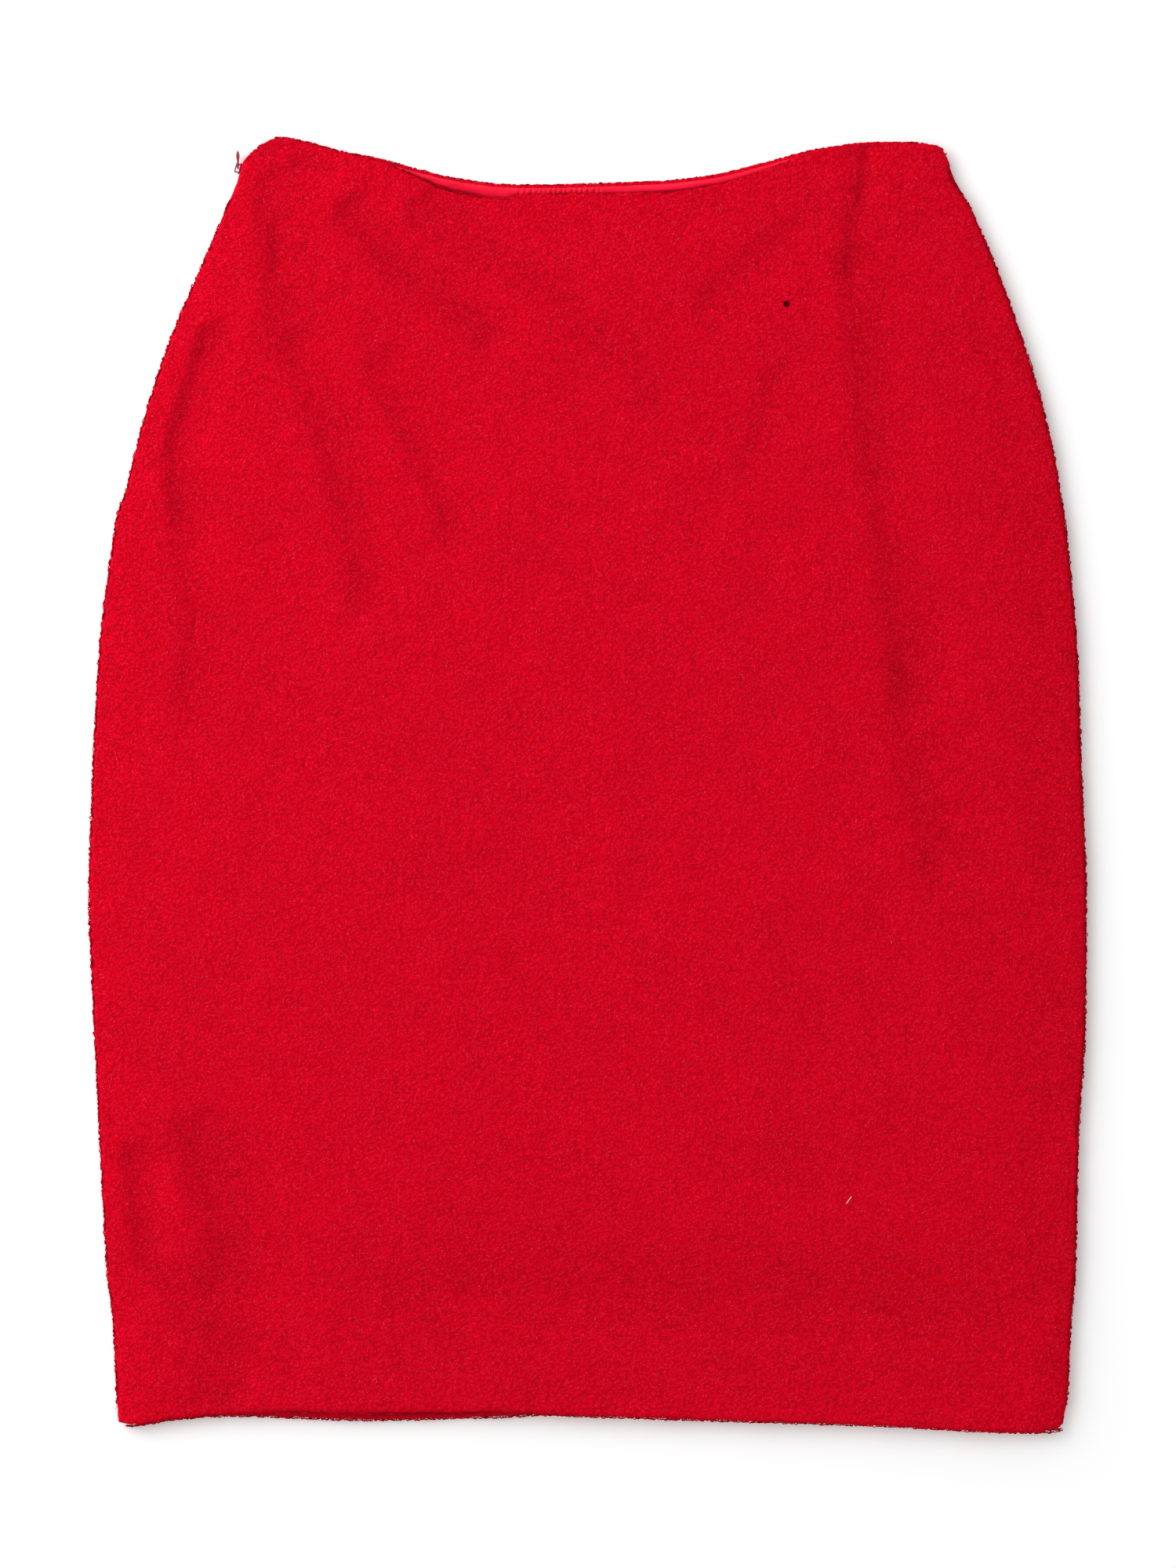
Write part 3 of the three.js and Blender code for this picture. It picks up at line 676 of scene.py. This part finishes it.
def rim_feet(panel, edge, rng):
    """Places along a waist or hem edge."""
    curve = panel["edges"][edge]
    left, right = curve["ends"]
    x = np.arange(left + RIM_FEET["from_left"], right - RIM_FEET["from_right"], EDGE_LOOP["pitch"])
    count = len(x)
    x = x + rng.uniform(-RIM_FEET["stray"], RIM_FEET["stray"], count)
    sign = 1 if edge == "waist" else -1
    y = curve["at_x"](x)
    top, normal = outer_side(panel, x, y - sign * RIM_FEET["inner"])
    thick = CLOTH if edge == "waist" else 2 * CLOTH + SEAM_GAP
    z = top[:, 2] - normal[:, 2] * rng.uniform(0.1, 0.9, count) * thick
    points = np.stack([x, y + sign * RIM_FEET["beyond"], z], -1)
    signs, ones = np.full(count, sign), np.ones(count)
    outward = np.stack([rng.uniform(-0.2, 0.2, count), signs, rng.uniform(-0.2, 0.7, count)], -1)
    along = np.stack([ones, rng.uniform(-0.2, 0.2, count), rng.uniform(-0.5, 0.5, count)], -1)
    return points, outward, along


def edge_loops(name, panel):
    rng = np.random.default_rng(panel["seed"] + 40)
    parts = [side_feet(panel, rng), rim_feet(panel, "waist", rng), rim_feet(panel, "hem", rng)]
    feet, outward, along = (np.concatenate(columns) for columns in zip(*parts))
    return yarn_loops(name, feet, outward, along, EDGE_LOOP, rng)


def face_loops(name, panel):
    """Pale curls here and there on the front; their pale colour is a painted highlight."""
    rng = np.random.default_rng(panel["seed"] + 60)
    y = rng.uniform(FACE_FEET["low"], FACE_FEET["high"], FACE_LOOP["count"])
    margin = FACE_FEET["from_side"]
    x = mix(left_side(y) + margin, right_side(y) - margin, rng.uniform(0, 1, len(y)))
    waist, hem = panel["edges"]["waist"]["at_x"](x), panel["edges"]["hem"]["at_x"](x)
    inside = (y < waist - FACE_FEET["from_edge"]) & (y > hem + FACE_FEET["from_edge"])
    points, normal = outer_side(panel, x[inside], y[inside])
    angle = rng.normal(0, FACE_FEET["turn"], inside.sum())
    along = np.stack([np.cos(angle), np.sin(angle), np.zeros_like(angle)], -1)
    return yarn_loops(name, points, normal, along, FACE_LOOP, rng)


def closed_strip(name, section):
    """A closed mesh from sections of points, each a ring, one after the other."""
    count, around = section.shape[:2]
    index = np.arange(count * around).reshape(count, around)
    here, there = index[:-1], index[1:]
    walls = np.stack([here, np.roll(here, -1, 1), np.roll(there, -1, 1), there], -1).reshape(-1, 4)
    ends = [index[0, ::-1].tolist(), index[-1].tolist()]
    return make_mesh(name, section.reshape(-1, 3), walls.tolist() + ends)


def facing_ticks(x, share):
    """Small grooves where the facing is drawn together over the middle of the waist."""
    rng = np.random.default_rng(71)
    at = np.cumsum(between(rng, FACING_TICKS["pitch"], 24)) + FACING_TICKS["left"]
    at = at[at < FACING_TICKS["right"]]
    depth = between(rng, (0.5, 1), len(at)) * FACING_TICKS["depth"]
    grooves = (depth * np.exp(-(((x[:, None] - at) / FACING_TICKS["width"]) ** 2))).sum(1)
    return grooves[:, None] * (1 - smoothstep(share, 0.45, 0.8))


def facing_strip(name):
    """The satin facing: it puffs up beside the back's edge and dips under the front's."""
    back, front = EDGES["back"]["waist"], EDGES["front"]["waist"]
    x = np.arange(back["ends"][0] + FACING["from_seam"], back["ends"][1] - FACING["from_seam"], FACING_STEP)
    edge = back["at_x"](x)
    gap = edge - front["at_x"](x)
    share = np.array([0, 0.04, 0.11, 0.2, 0.32, 0.45, 0.58, 0.69, 0.78, 0.86, 0.93, 1])
    shown = FACING["start"] + share * (gap + FACING_PUFF["past_edge"] - FACING["start"])[:, None]
    under = mix(shown[:, -1:], FACING["end"], np.array([0.03, 0.1, 0.25, 0.5, 0.75, 1]))
    down = np.concatenate([shown, under], 1)
    puff = np.clip(FACING_PUFF["slope"] * (gap - FACING_PUFF["start"]), 0, FACING_PUFF["most"])[:, None]
    hump = smoothstep(share, -0.05, 0.35) * (1 - smoothstep(share, 0.55, 0.9))
    wave = 0.12 * value_noise(x[:, None], 9 * share, 7, 31) * np.minimum(puff, 1)
    rise = puff * hump + wave - facing_ticks(x, share) * np.minimum(puff, 1)
    rise = rise - FACING_PUFF["dip"] * smoothstep(share, 0.8, 1) * np.minimum(puff, 1)
    after = -FACING_PUFF["dip"] * np.array([1, 0.8, 0.3, 0, 0, 0]) * np.minimum(puff, 1)
    y = edge[:, None] - down
    wide = np.repeat(x[:, None], down.shape[1], 1)
    cloth_top = back_height(wide, y) + CLOTH + FACING["above_cloth"]
    top = np.maximum(FACING["height"] + np.concatenate([rise, after], 1), cloth_top + FACING["thickness"])
    bottom = np.maximum(top - FACING["thickness"], cloth_top)
    lip = np.stack([x, edge - FACING["start"] + 0.2, (top[:, 0] + bottom[:, 0]) / 2], -1)[:, None]
    upper = np.stack([wide, y, top], -1)
    lower = np.stack([wide, y, bottom], -1)[:, ::-1]
    return closed_strip(name, np.concatenate([lip, upper, lower], 1))


def zip_tape_strips(name, upper):
    """One of the zip's two tapes, along the seam at the left."""
    y = np.linspace(ZIP["top"], ZIP["bottom"], 90)
    sign = 1 if upper else -1
    near, far = ZIP["between"] / 2, ZIP["between"] / 2 + ZIP["tape"]
    ripple = 0.05 * np.sin(y * 1.1 + (2 if upper else 0))
    into = np.array([0, 0.15, 2.5, 5, 7.5, 9.95, ZIP["width"]])
    shape = np.array([0.6, 1, 1, 1, 1, 1, 0.7])
    lower_line = [(i, near) for i in into]
    upper_line = [(i, mix(near, far, s)) for i, s in zip(into[::-1], shape[::-1])]
    ring = np.array(lower_line + upper_line)[::sign]
    x = left_side(y)[:, None] + ZIP["from_edge"] + ring[None, :, 0]
    z = SEAM_HEIGHT + sign * (ring[None, :, 1] + ripple[:, None] * (ring[None, :, 0] > 2))
    return closed_strip(name, np.stack([x, np.repeat(y[:, None], len(ring), 1), z], -1))


def zip_coil(name):
    """The coil's turns, one small rounded bar each, lying over the tapes' edges."""
    y = np.arange(ZIP["bottom"] + 1.5, ZIP["top"] - 0.5, COIL["pitch"])
    half_round = [(0.15, -1), (0.85, -1), (1, -0.6), (1, 0.6)]
    corner = np.array(half_round + [(1 - a, -b) for a, b in half_round])
    ring_x = left_side(y)[:, None] + ZIP["from_edge"] - 0.1 + COIL["reach"] * corner[:, 0]
    ring_z = np.repeat(SEAM_HEIGHT + COIL["rise"] * corner[None, :, 1], len(y), 0)
    half = COIL["length"] / 2
    front = np.stack([ring_x, np.repeat(y[:, None] + half, 8, 1), ring_z], -1)
    rear = np.stack([ring_x, np.repeat(y[:, None] - half, 8, 1), ring_z], -1)
    points = np.stack([front, rear], 1)
    index = np.arange(points[..., 0].size).reshape(len(y), 2, 8)
    here, there = index[:, 0], index[:, 1]
    walls = np.stack([here, there, np.roll(there, -1, 1), np.roll(here, -1, 1)], -1).reshape(-1, 4)
    caps = np.concatenate([index[:, 0], index[:, 1, ::-1]])
    return make_mesh(name, points.reshape(-1, 3), walls.tolist() + caps.tolist())


def rounded_window(angle):
    """A point on the window's edge for each angle round it: along and across the pull."""
    middle = (PULL_WINDOW["start"] + PULL_WINDOW["end"]) / 2
    half = (PULL_WINDOW["end"] - PULL_WINDOW["start"]) / 2
    power = 0.45
    along = middle + half * np.sign(np.cos(angle)) * np.abs(np.cos(angle)) ** power
    across = PULL_WINDOW["half"] * np.sign(np.sin(angle)) * np.abs(np.sin(angle)) ** power
    return along, across


def zip_pull(name):
    """The teardrop pull, a rounded band between its window and its outline."""
    half = through(PULL[:, 0], PULL[:, 1])
    thick = through(PULL[:, 0], PULL[:, 2])
    angle = np.arange(PULL_POINTS) * 2 * math.pi / PULL_POINTS
    along_in, across_in = rounded_window(angle)
    first, last = PULL[0, 0], PULL[-1, 0]
    along_out = mix(first, last, (0.5 + 0.5 * np.cos(angle)) ** 1.15)
    across_out = np.sign(np.sin(angle)) * half(along_out) * np.abs(np.sin(angle)) ** 0.12
    across = np.linspace(0, 1, PULL_BAND)
    dome = np.sqrt(np.maximum(1 - (2 * across - 1) ** 4, 0))
    along = mix(along_in[:, None], along_out[:, None], across)
    z = mix(across_in[:, None], across_out[:, None], across)
    rise = thick(along) * dome
    over = np.stack([-rise, along, z], -1)
    under = np.stack([rise, along, z], -1)[:, -2:0:-1]
    ring = np.concatenate([over, under], 1)
    low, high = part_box("zip_pull")
    pivot = np.array([(low[0] + high[0]) / 2, low[1], (low[2] + high[2]) / 2]) / MM
    pivot = pivot + (0, CENTRE_Y - first, 0)
    index = np.arange(ring.shape[0] * ring.shape[1]).reshape(ring.shape[:2])
    there = np.roll(index, -1, 0)
    faces = np.stack([index, np.roll(index, -1, 1), np.roll(there, -1, 1), there], -1).reshape(-1, 4)
    return make_mesh(name, ring.reshape(-1, 3) + pivot, faces.tolist())


def rounded_copy(name, node, width):
    """A copy of a solid with its edges rounded."""
    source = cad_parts[node]
    mesh = source.data.copy()
    mesh.name = name
    thing = bpy.data.objects.new(name, mesh)
    bpy.context.scene.collection.objects.link(thing)
    build = bmesh.new()
    build.from_mesh(mesh)
    bmesh.ops.remove_doubles(build, verts=build.verts, dist=1e-6)
    bmesh.ops.dissolve_limit(build, angle_limit=0.02, verts=build.verts, edges=build.edges)
    sharp = [e for e in build.edges if len(e.link_faces) == 2 and e.calc_face_angle() > 0.4]
    bmesh.ops.bevel(
        build, geom=sharp, offset=width * MM, segments=2, profile=0.5, affect="EDGES", clamp_overlap=True,
    )
    bmesh.ops.triangulate(build, faces=build.faces)
    build.to_mesh(mesh)
    build.free()
    mesh.materials.clear()
    return thing


def thread(name, points, radius):
    """A loose fibre along a few points."""
    curve = bpy.data.curves.new(name, "CURVE")
    curve.dimensions = "3D"
    curve.bevel_depth = radius * MM
    curve.bevel_resolution = 1
    curve.use_fill_caps = True
    spline = curve.splines.new("NURBS")
    spline.points.add(len(points) - 1)
    for point, (x, y, z) in zip(spline.points, points):
        point.co = (x * MM, (y - CENTRE_Y) * MM, z * MM, 1)
    spline.order_u = 3
    spline.use_endpoint_u = True
    spline.resolution_u = 4
    thing = bpy.data.objects.new(name, curve)
    bpy.context.scene.collection.objects.link(thing)
    return thing


def on_front(places, above):
    """Points a little above the front's outer side."""
    x, y = np.array(places, float).T
    points, _ = outer_side(PANELS["front"], x, y)
    return points + (0, 0, above)


class Nodes:
    """Adds shader nodes to one material and links them."""

    def __init__(self, name):
        self.material = bpy.data.materials.new(name)
        self.material.use_nodes = True
        self.tree = self.material.node_tree
        self.tree.nodes.clear()
        self.output = self.tree.nodes.new("ShaderNodeOutputMaterial")
        coordinates = self.tree.nodes.new("ShaderNodeTexCoord")
        self.place = self.vector("SCALE", coordinates.outputs["Object"], scale=1 / MM)

    def feed(self, socket, value):
        if isinstance(value, bpy.types.NodeSocket):
            self.tree.links.new(value, socket)
        else:
            socket.default_value = value

    def vector(self, operation, a, b=None, scale=None):
        node = self.tree.nodes.new("ShaderNodeVectorMath")
        node.operation = operation
        self.feed(node.inputs[0], a)
        if b is not None:
            self.feed(node.inputs[1], b)
        if scale is not None:
            self.feed(node.inputs["Scale"], scale)
        return node.outputs["Value" if operation == "DISTANCE" else "Vector"]

    def math(self, operation, a, b=0.0, clamp=False):
        node = self.tree.nodes.new("ShaderNodeMath")
        node.operation = operation
        node.use_clamp = clamp
        self.feed(node.inputs[0], a)
        self.feed(node.inputs[1], b)
        return node.outputs[0]

    def ramp(self, value, start, end, low=0.0, high=1.0):
        """A value from start to end becomes low to high, smoothly."""
        node = self.tree.nodes.new("ShaderNodeMapRange")
        node.interpolation_type = "SMOOTHSTEP"
        for socket, number in zip(node.inputs[:5], (value, start, end, low, high)):
            self.feed(socket, number)
        return node.outputs[0]

    def blend(self, factor, a, b):
        node = self.tree.nodes.new("ShaderNodeMix")
        node.data_type = "RGBA"
        self.feed(node.inputs["Factor"], factor)
        self.feed(node.inputs[6], a)
        self.feed(node.inputs[7], b)
        return node.outputs[2]

    def stretch(self, place, amounts, offset=(0, 0, 0)):
        """Coordinates with features stretched to that many millimetres along each axis."""
        node = self.tree.nodes.new("ShaderNodeMapping")
        self.feed(node.inputs["Vector"], place)
        node.inputs["Scale"].default_value = [1 / amount for amount in amounts]
        node.inputs["Location"].default_value = offset
        return node.outputs[0]

    def attribute(self, name):
        node = self.tree.nodes.new("ShaderNodeAttribute")
        node.attribute_name = name
        return node.outputs["Fac"]

    def noise(self, place, detail=1.0, roughness=0.5, colour=False):
        node = self.tree.nodes.new("ShaderNodeTexNoise")
        self.feed(node.inputs["Vector"], place)
        node.inputs["Scale"].default_value = 1.0
        node.inputs["Detail"].default_value = detail
        node.inputs["Roughness"].default_value = roughness
        return node.outputs["Color" if colour else "Fac"]

    def cells(self, place, feature="SMOOTH_F1"):
        node = self.tree.nodes.new("ShaderNodeTexVoronoi")
        node.feature = feature
        self.feed(node.inputs["Vector"], place)
        node.inputs["Scale"].default_value = 1.0
        if feature == "SMOOTH_F1":
            node.inputs["Smoothness"].default_value = 0.35
        return node.outputs["Distance"]

    def strand(self, place, width):
        """Curly thread lines of that relative width, 1 along their middle."""
        centred = self.math("ABSOLUTE", self.math("SUBTRACT", self.noise(place, detail=0.0), 0.5))
        return self.ramp(centred, 0.0, width, 1.0, 0.0)

    def warp(self, place, amounts, reach):
        """Coordinates pushed about by up to that many millimetres."""
        noise = self.noise(self.stretch(place, amounts), colour=True)
        push = self.vector("SUBTRACT", noise, (0.5, 0.5, 0.5))
        return self.vector("ADD", place, self.vector("SCALE", push, scale=2 * reach))

    def bump(self, height, strength, distance):
        node = self.tree.nodes.new("ShaderNodeBump")
        node.inputs["Strength"].default_value = strength
        node.inputs["Distance"].default_value = distance * MM
        self.feed(node.inputs["Height"], height)
        return node.outputs[0]

    def surface(self, colour, roughness, normal=None, **constants):
        """Ends the material with a Principled shader."""
        shader = self.tree.nodes.new("ShaderNodeBsdfPrincipled")
        self.feed(shader.inputs["Base Color"], colour)
        self.feed(shader.inputs["Roughness"], roughness)
        if normal is not None:
            self.feed(shader.inputs["Normal"], normal)
        for socket, value in constants.items():
            shader.inputs[socket.replace("_", " ")].default_value = value
        self.tree.links.new(shader.outputs[0], self.output.inputs["Surface"])
        return self.material


def cloth_material(name, with_hole):
    """Nubby cloth: curly yarn in loose rows, with pits between the nubs and fine fibres; shade is painted
    into the pits and troughs, and a highlight onto the curls.
    """
    n = Nodes(name)
    place = n.warp(n.place, (5, 5, 5), 0.8)
    rows = n.stretch(place, (1.25, 0.8, 1.25))
    curls = n.strand(rows, 0.085)
    upright = n.strand(n.stretch(place, (0.8, 1.4, 1.25), (31, 7, 3)), 0.08)
    pits = n.ramp(n.cells(n.stretch(place, (1.7, 1.45, 1.7))), 0.3, 0.8)
    fibres = n.noise(n.stretch(n.place, (0.45, 0.35, 0.45)), detail=2.0, roughness=0.6)
    yarn = n.math("MAXIMUM", curls, n.math("MULTIPLY", upright, 0.8))
    height = n.math("ADD", n.math("MULTIPLY", yarn, 0.45), n.math("MULTIPLY", fibres, 0.35))
    height = n.math("SUBTRACT", height, n.math("MULTIPLY", pits, 0.75))
    patches = n.noise(n.stretch(n.place, (30, 24, 30)), detail=3.0)
    streaks = n.noise(n.stretch(n.place, (1.6, 14, 6), (5, 2, 1)), detail=1.0)
    ribs = n.noise(n.stretch(n.place, (15, 1.5, 6), (9, 4, 1)), detail=1.0)
    shade = n.math("ADD", n.ramp(patches, 0.3, 0.7, -0.06, 0.06), n.ramp(streaks, 0.28, 0.5, -0.16, 0.0))
    shade = n.math("ADD", shade, n.ramp(ribs, 0.28, 0.5, -0.13, 0.0))
    # Painted shade: the cloth gets darker the deeper a trough or the hem groove lies; patches, streaks and
    # ribs are its own tone
    shade = n.math("SUBTRACT", shade, n.math("MULTIPLY", n.attribute("trough"), PAINTED_TROUGH_SHADE))
    # Painted shade in the pits between the nubs, added to the darker tone
    dark = n.math("ADD", n.math("MULTIPLY", pits, 0.5), n.math("MULTIPLY", shade, -1.0), clamp=True)
    # Painted highlight: paler colour on the tops of the yarn curls
    light = n.math("MULTIPLY", yarn, n.ramp(fibres, 0.45, 0.68, 0.04, 0.8), clamp=True)
    colour = n.blend(dark, CLOTH_RED, CLOTH_DARK_TONE_AND_SHADE)
    colour = n.blend(light, colour, CLOTH_PAINTED_HIGHLIGHT)
    if with_hole:
        # Painted shade: the hole is not cut, a near-black disc stands for the shade inside it
        flat = n.vector("MULTIPLY", n.place, (1, 1, 0))
        centre = (HOLE["at"][0], HOLE["at"][1] - CENTRE_Y, 0)
        away = n.vector("DISTANCE", flat, centre)
        inside = n.ramp(away, HOLE["radius"], HOLE["edge"], 0.93, 0.0)
        colour = n.blend(inside, colour, (0.05, 0.0, 0.002, 1))
    normal = n.bump(height, 0.75, 0.55)
    return n.surface(
        colour, 0.93, normal, Sheen_Weight=0.02, Sheen_Roughness=0.5, Sheen_Tint=(1, 0.01, 0.06, 1),
        Specular_IOR_Level=0.01,
    )


def yarn_material(name, deep, bright):
    """Loose curls of the cloth's yarn."""
    n = Nodes(name)
    tint = n.noise(n.stretch(n.place, (3, 3, 3)), detail=1.0)
    colour = n.blend(n.ramp(tint, 0.35, 0.65), deep, bright)
    return n.surface(colour, 0.9, Sheen_Weight=0.05, Sheen_Tint=(1, 0.1, 0.2, 1), Specular_IOR_Level=0.03)


def satin_material():
    """Smooth facing cloth with a fine weave; its creases are painted darker in their hollows and paler on
    their crests, as painted shade and highlight.
    """
    n = Nodes("facing_satin")
    weave = n.noise(n.stretch(n.place, (2.2, 0.25, 0.6)), detail=2.0)
    creases = n.noise(n.stretch(n.place, (14, 3, 6)), detail=2.0)
    # Painted shade and highlight: the colour follows the creases' relief, darker low and paler high
    colour = n.blend(n.ramp(creases, 0.3, 0.7), (0.7, 0.003, 0.024, 1), (0.95, 0.009, 0.045, 1))
    normal = n.bump(n.math("ADD", n.math("MULTIPLY", weave, 0.4), creases), 0.3, 0.4)
    return n.surface(
        colour, 0.5, normal, Sheen_Weight=0.04, Sheen_Tint=(1, 0.1, 0.2, 1), Specular_IOR_Level=0.06,
    )


def tape_material():
    """The zip's woven tape."""
    n = Nodes("zip_tape")
    weave = n.cells(n.stretch(n.place, (0.5, 0.6, 0.5)), feature="F1")
    colour = n.blend(n.ramp(weave, 0.1, 0.7), (0.46, 0.006, 0.02, 1), (0.25, 0.002, 0.01, 1))
    return n.surface(colour, 0.8, n.bump(weave, 0.4, 0.15), Sheen_Weight=0.05, Specular_IOR_Level=0.1)


def coil_material():
    """The zip's smooth nylon coil."""
    n = Nodes("zip_coil")
    tint = n.noise(n.stretch(n.place, (2, 2, 2)), detail=1.0)
    colour = n.blend(n.ramp(tint, 0.3, 0.7), (0.38, 0.004, 0.018, 1), (0.5, 0.01, 0.03, 1))
    return n.surface(colour, 0.35, n.bump(tint, 0.1, 0.05), Specular_IOR_Level=0.3)


def lacquer_material():
    """Dark red lacquer on the slider and its pull, rubbed a little."""
    n = Nodes("zip_lacquer")
    wear = n.noise(n.stretch(n.place, (0.8, 0.8, 0.8)), detail=3.0)
    colour = n.blend(n.ramp(wear, 0.4, 0.75), (0.26, 0.014, 0.04, 1), (0.4, 0.05, 0.09, 1))
    roughness = n.ramp(wear, 0.3, 0.8, 0.28, 0.5)
    return n.surface(colour, roughness, n.bump(wear, 0.15, 0.05), Metallic=0.35, Coat_Weight=0.3)


def lint_material():
    """A pale sliver of lint."""
    n = Nodes("lint")
    tint = n.noise(n.stretch(n.place, (1, 1, 1)), detail=1.0)
    colour = n.blend(tint, (0.85, 0.35, 0.38, 1), (0.95, 0.6, 0.6, 1))
    return n.surface(colour, 0.8, Specular_IOR_Level=0.1)


def finish(thing, material, body="skirt", nodes=()):
    thing.data.materials.append(material)
    if nodes:
        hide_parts(*nodes)
    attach(thing, body)
    return thing


def camera():
    data = bpy.data.cameras.new("camera")
    data.lens = CAMERA["lens"]
    data.sensor_width = CAMERA["sensor"]
    eye = bpy.data.objects.new("camera", data)
    distance = CAMERA["frame_height"] / CAMERA["sensor"] * CAMERA["lens"]
    over_x, over_y = CAMERA["over"]
    eye.location = (over_x * MM, (over_y - CENTRE_Y) * MM, (distance + SEAM_HEIGHT) * MM)
    bpy.context.scene.collection.objects.link(eye)
    bpy.context.scene.camera = eye


def area_light(name, place, target, size, power):
    data = bpy.data.lights.new(name, "AREA")
    data.size = size
    data.energy = power
    light = bpy.data.objects.new(name, data)
    light.location = place
    light.rotation_mode = "QUATERNION"
    light.rotation_quaternion = (Vector(target) - Vector(place)).to_track_quat("-Z", "Y")
    bpy.context.scene.collection.objects.link(light)


def studio():
    """A pale floor under soft light from the upper left."""
    n = Nodes("floor")
    n.surface(
        (0.97, 0.97, 0.97, 1), 0.9, Specular_IOR_Level=0.0, Emission_Color=(1, 1, 1, 1),
        Emission_Strength=FLOOR_GLOW,
    )
    half, level = 3000, -0.05
    corners = [(-half, -half, level), (half, -half, level), (half, half, level), (-half, half, level)]
    floor = make_mesh("floor", corners, [(0, 1, 2, 3)], smooth=False)
    floor.data.materials.append(n.material)
    world = bpy.data.worlds.new("studio")
    world.use_nodes = True
    background = world.node_tree.nodes["Background"]
    direction = world.node_tree.nodes.new("ShaderNodeTexCoord")
    towards = world.node_tree.nodes.new("ShaderNodeVectorMath")
    towards.operation = "DOT_PRODUCT"
    towards.inputs[1].default_value = SKY["towards"]
    strength = world.node_tree.nodes.new("ShaderNodeMapRange")
    for socket, number in zip(strength.inputs[1:5], (-1, 1, SKY["least"], SKY["most"])):
        socket.default_value = number
    world.node_tree.links.new(direction.outputs["Generated"], towards.inputs[0])
    world.node_tree.links.new(towards.outputs["Value"], strength.inputs["Value"])
    world.node_tree.links.new(strength.outputs["Result"], background.inputs["Strength"])
    background.inputs["Color"].default_value = (1, 1, 1, 1)
    bpy.context.scene.world = world
    area_light("key", KEY["from"], (0, 0, 0), KEY["size"], KEY["power"])
    bpy.context.scene.view_settings.view_transform = "Standard"


def zip_fittings():
    """The zip's tapes, coil, slider and pull."""
    woven = tape_material()
    lacquer = lacquer_material()
    tape = finish(zip_tape_strips("zip_tape_upper", True), woven, nodes=["zip_tape"])
    other = finish(zip_tape_strips("zip_tape_lower", False), woven, nodes=["zip_tape"])
    coil = finish(zip_coil("zip_coil"), coil_material(), nodes=["zip_tape"])
    finish(rounded_copy("zip_slider_body", "zip_slider", 0.12), lacquer, nodes=["zip_slider"])
    finish(zip_pull("zip_pull_teardrop"), lacquer, body="pull", nodes=["zip_pull"])
    return tape, other, coil


def loose_threads(pale, lint):
    """A sliver of lint, a pale curl near the hem and a thread at the hem's left corner."""
    sliver = thread("lint_sliver", on_front([(125.2, -202.6), (126.3, -201), (127.6, -199.2)], 0.25), 0.22)
    curled = on_front([(-104, -288.5), (-102.8, -286.8), (-101.4, -287.6), (-102, -289)], 0.3)
    curl = thread("hem_curl", curled, 0.16)
    corner = left_side(-301)
    strayed = [(corner + 1, -300, 4.6), (corner - 0.4, -301, 4.8), (corner - 1, -302.6, 4.2)]
    stray = thread("corner_thread", strayed, 0.14)
    return [finish(sliver, lint), finish(curl, pale), finish(stray, pale)]


camera()
studio()
# Painted shade: the yarn along the panels' edges is coloured darker than the cloth
edge_yarn_painted_shade = yarn_material("yarn_edges_painted_shade", (0.31, 0.0005, 0.007, 1), (0.54, 0.0015, 0.015, 1))
# Painted highlight: the pale curls on the front stand for lit yarn tops; the loose threads share this pale
# colour
pale_yarn_and_painted_highlight = yarn_material("yarn_curls_painted_highlight", (0.72, 0.008, 0.035, 1), (0.92, 0.035, 0.085, 1))
front_shell = mark_troughs_for_painted_shade(panel_shell("front_cloth", PANELS["front"]), FRONT_FOLDS)
front_sheet = finish(front_shell, cloth_material("cloth_front", True), nodes=["front_panel"])
back_sheet = finish(panel_shell("back_cloth", PANELS["back"]), cloth_material("cloth_back", False),
                    nodes=["back_panel"])
front_edges = finish(edge_loops("front_edge_yarn", PANELS["front"]), edge_yarn_painted_shade)
back_edges = finish(edge_loops("back_edge_yarn", PANELS["back"]), edge_yarn_painted_shade)
curls = finish(face_loops("front_curls", PANELS["front"]), pale_yarn_and_painted_highlight)
facing = finish(facing_strip("facing_strip"), satin_material(), nodes=["back_facing"])
tape_upper, tape_lower, coil = zip_fittings()
threads = loose_threads(pale_yarn_and_painted_highlight, lint_material())
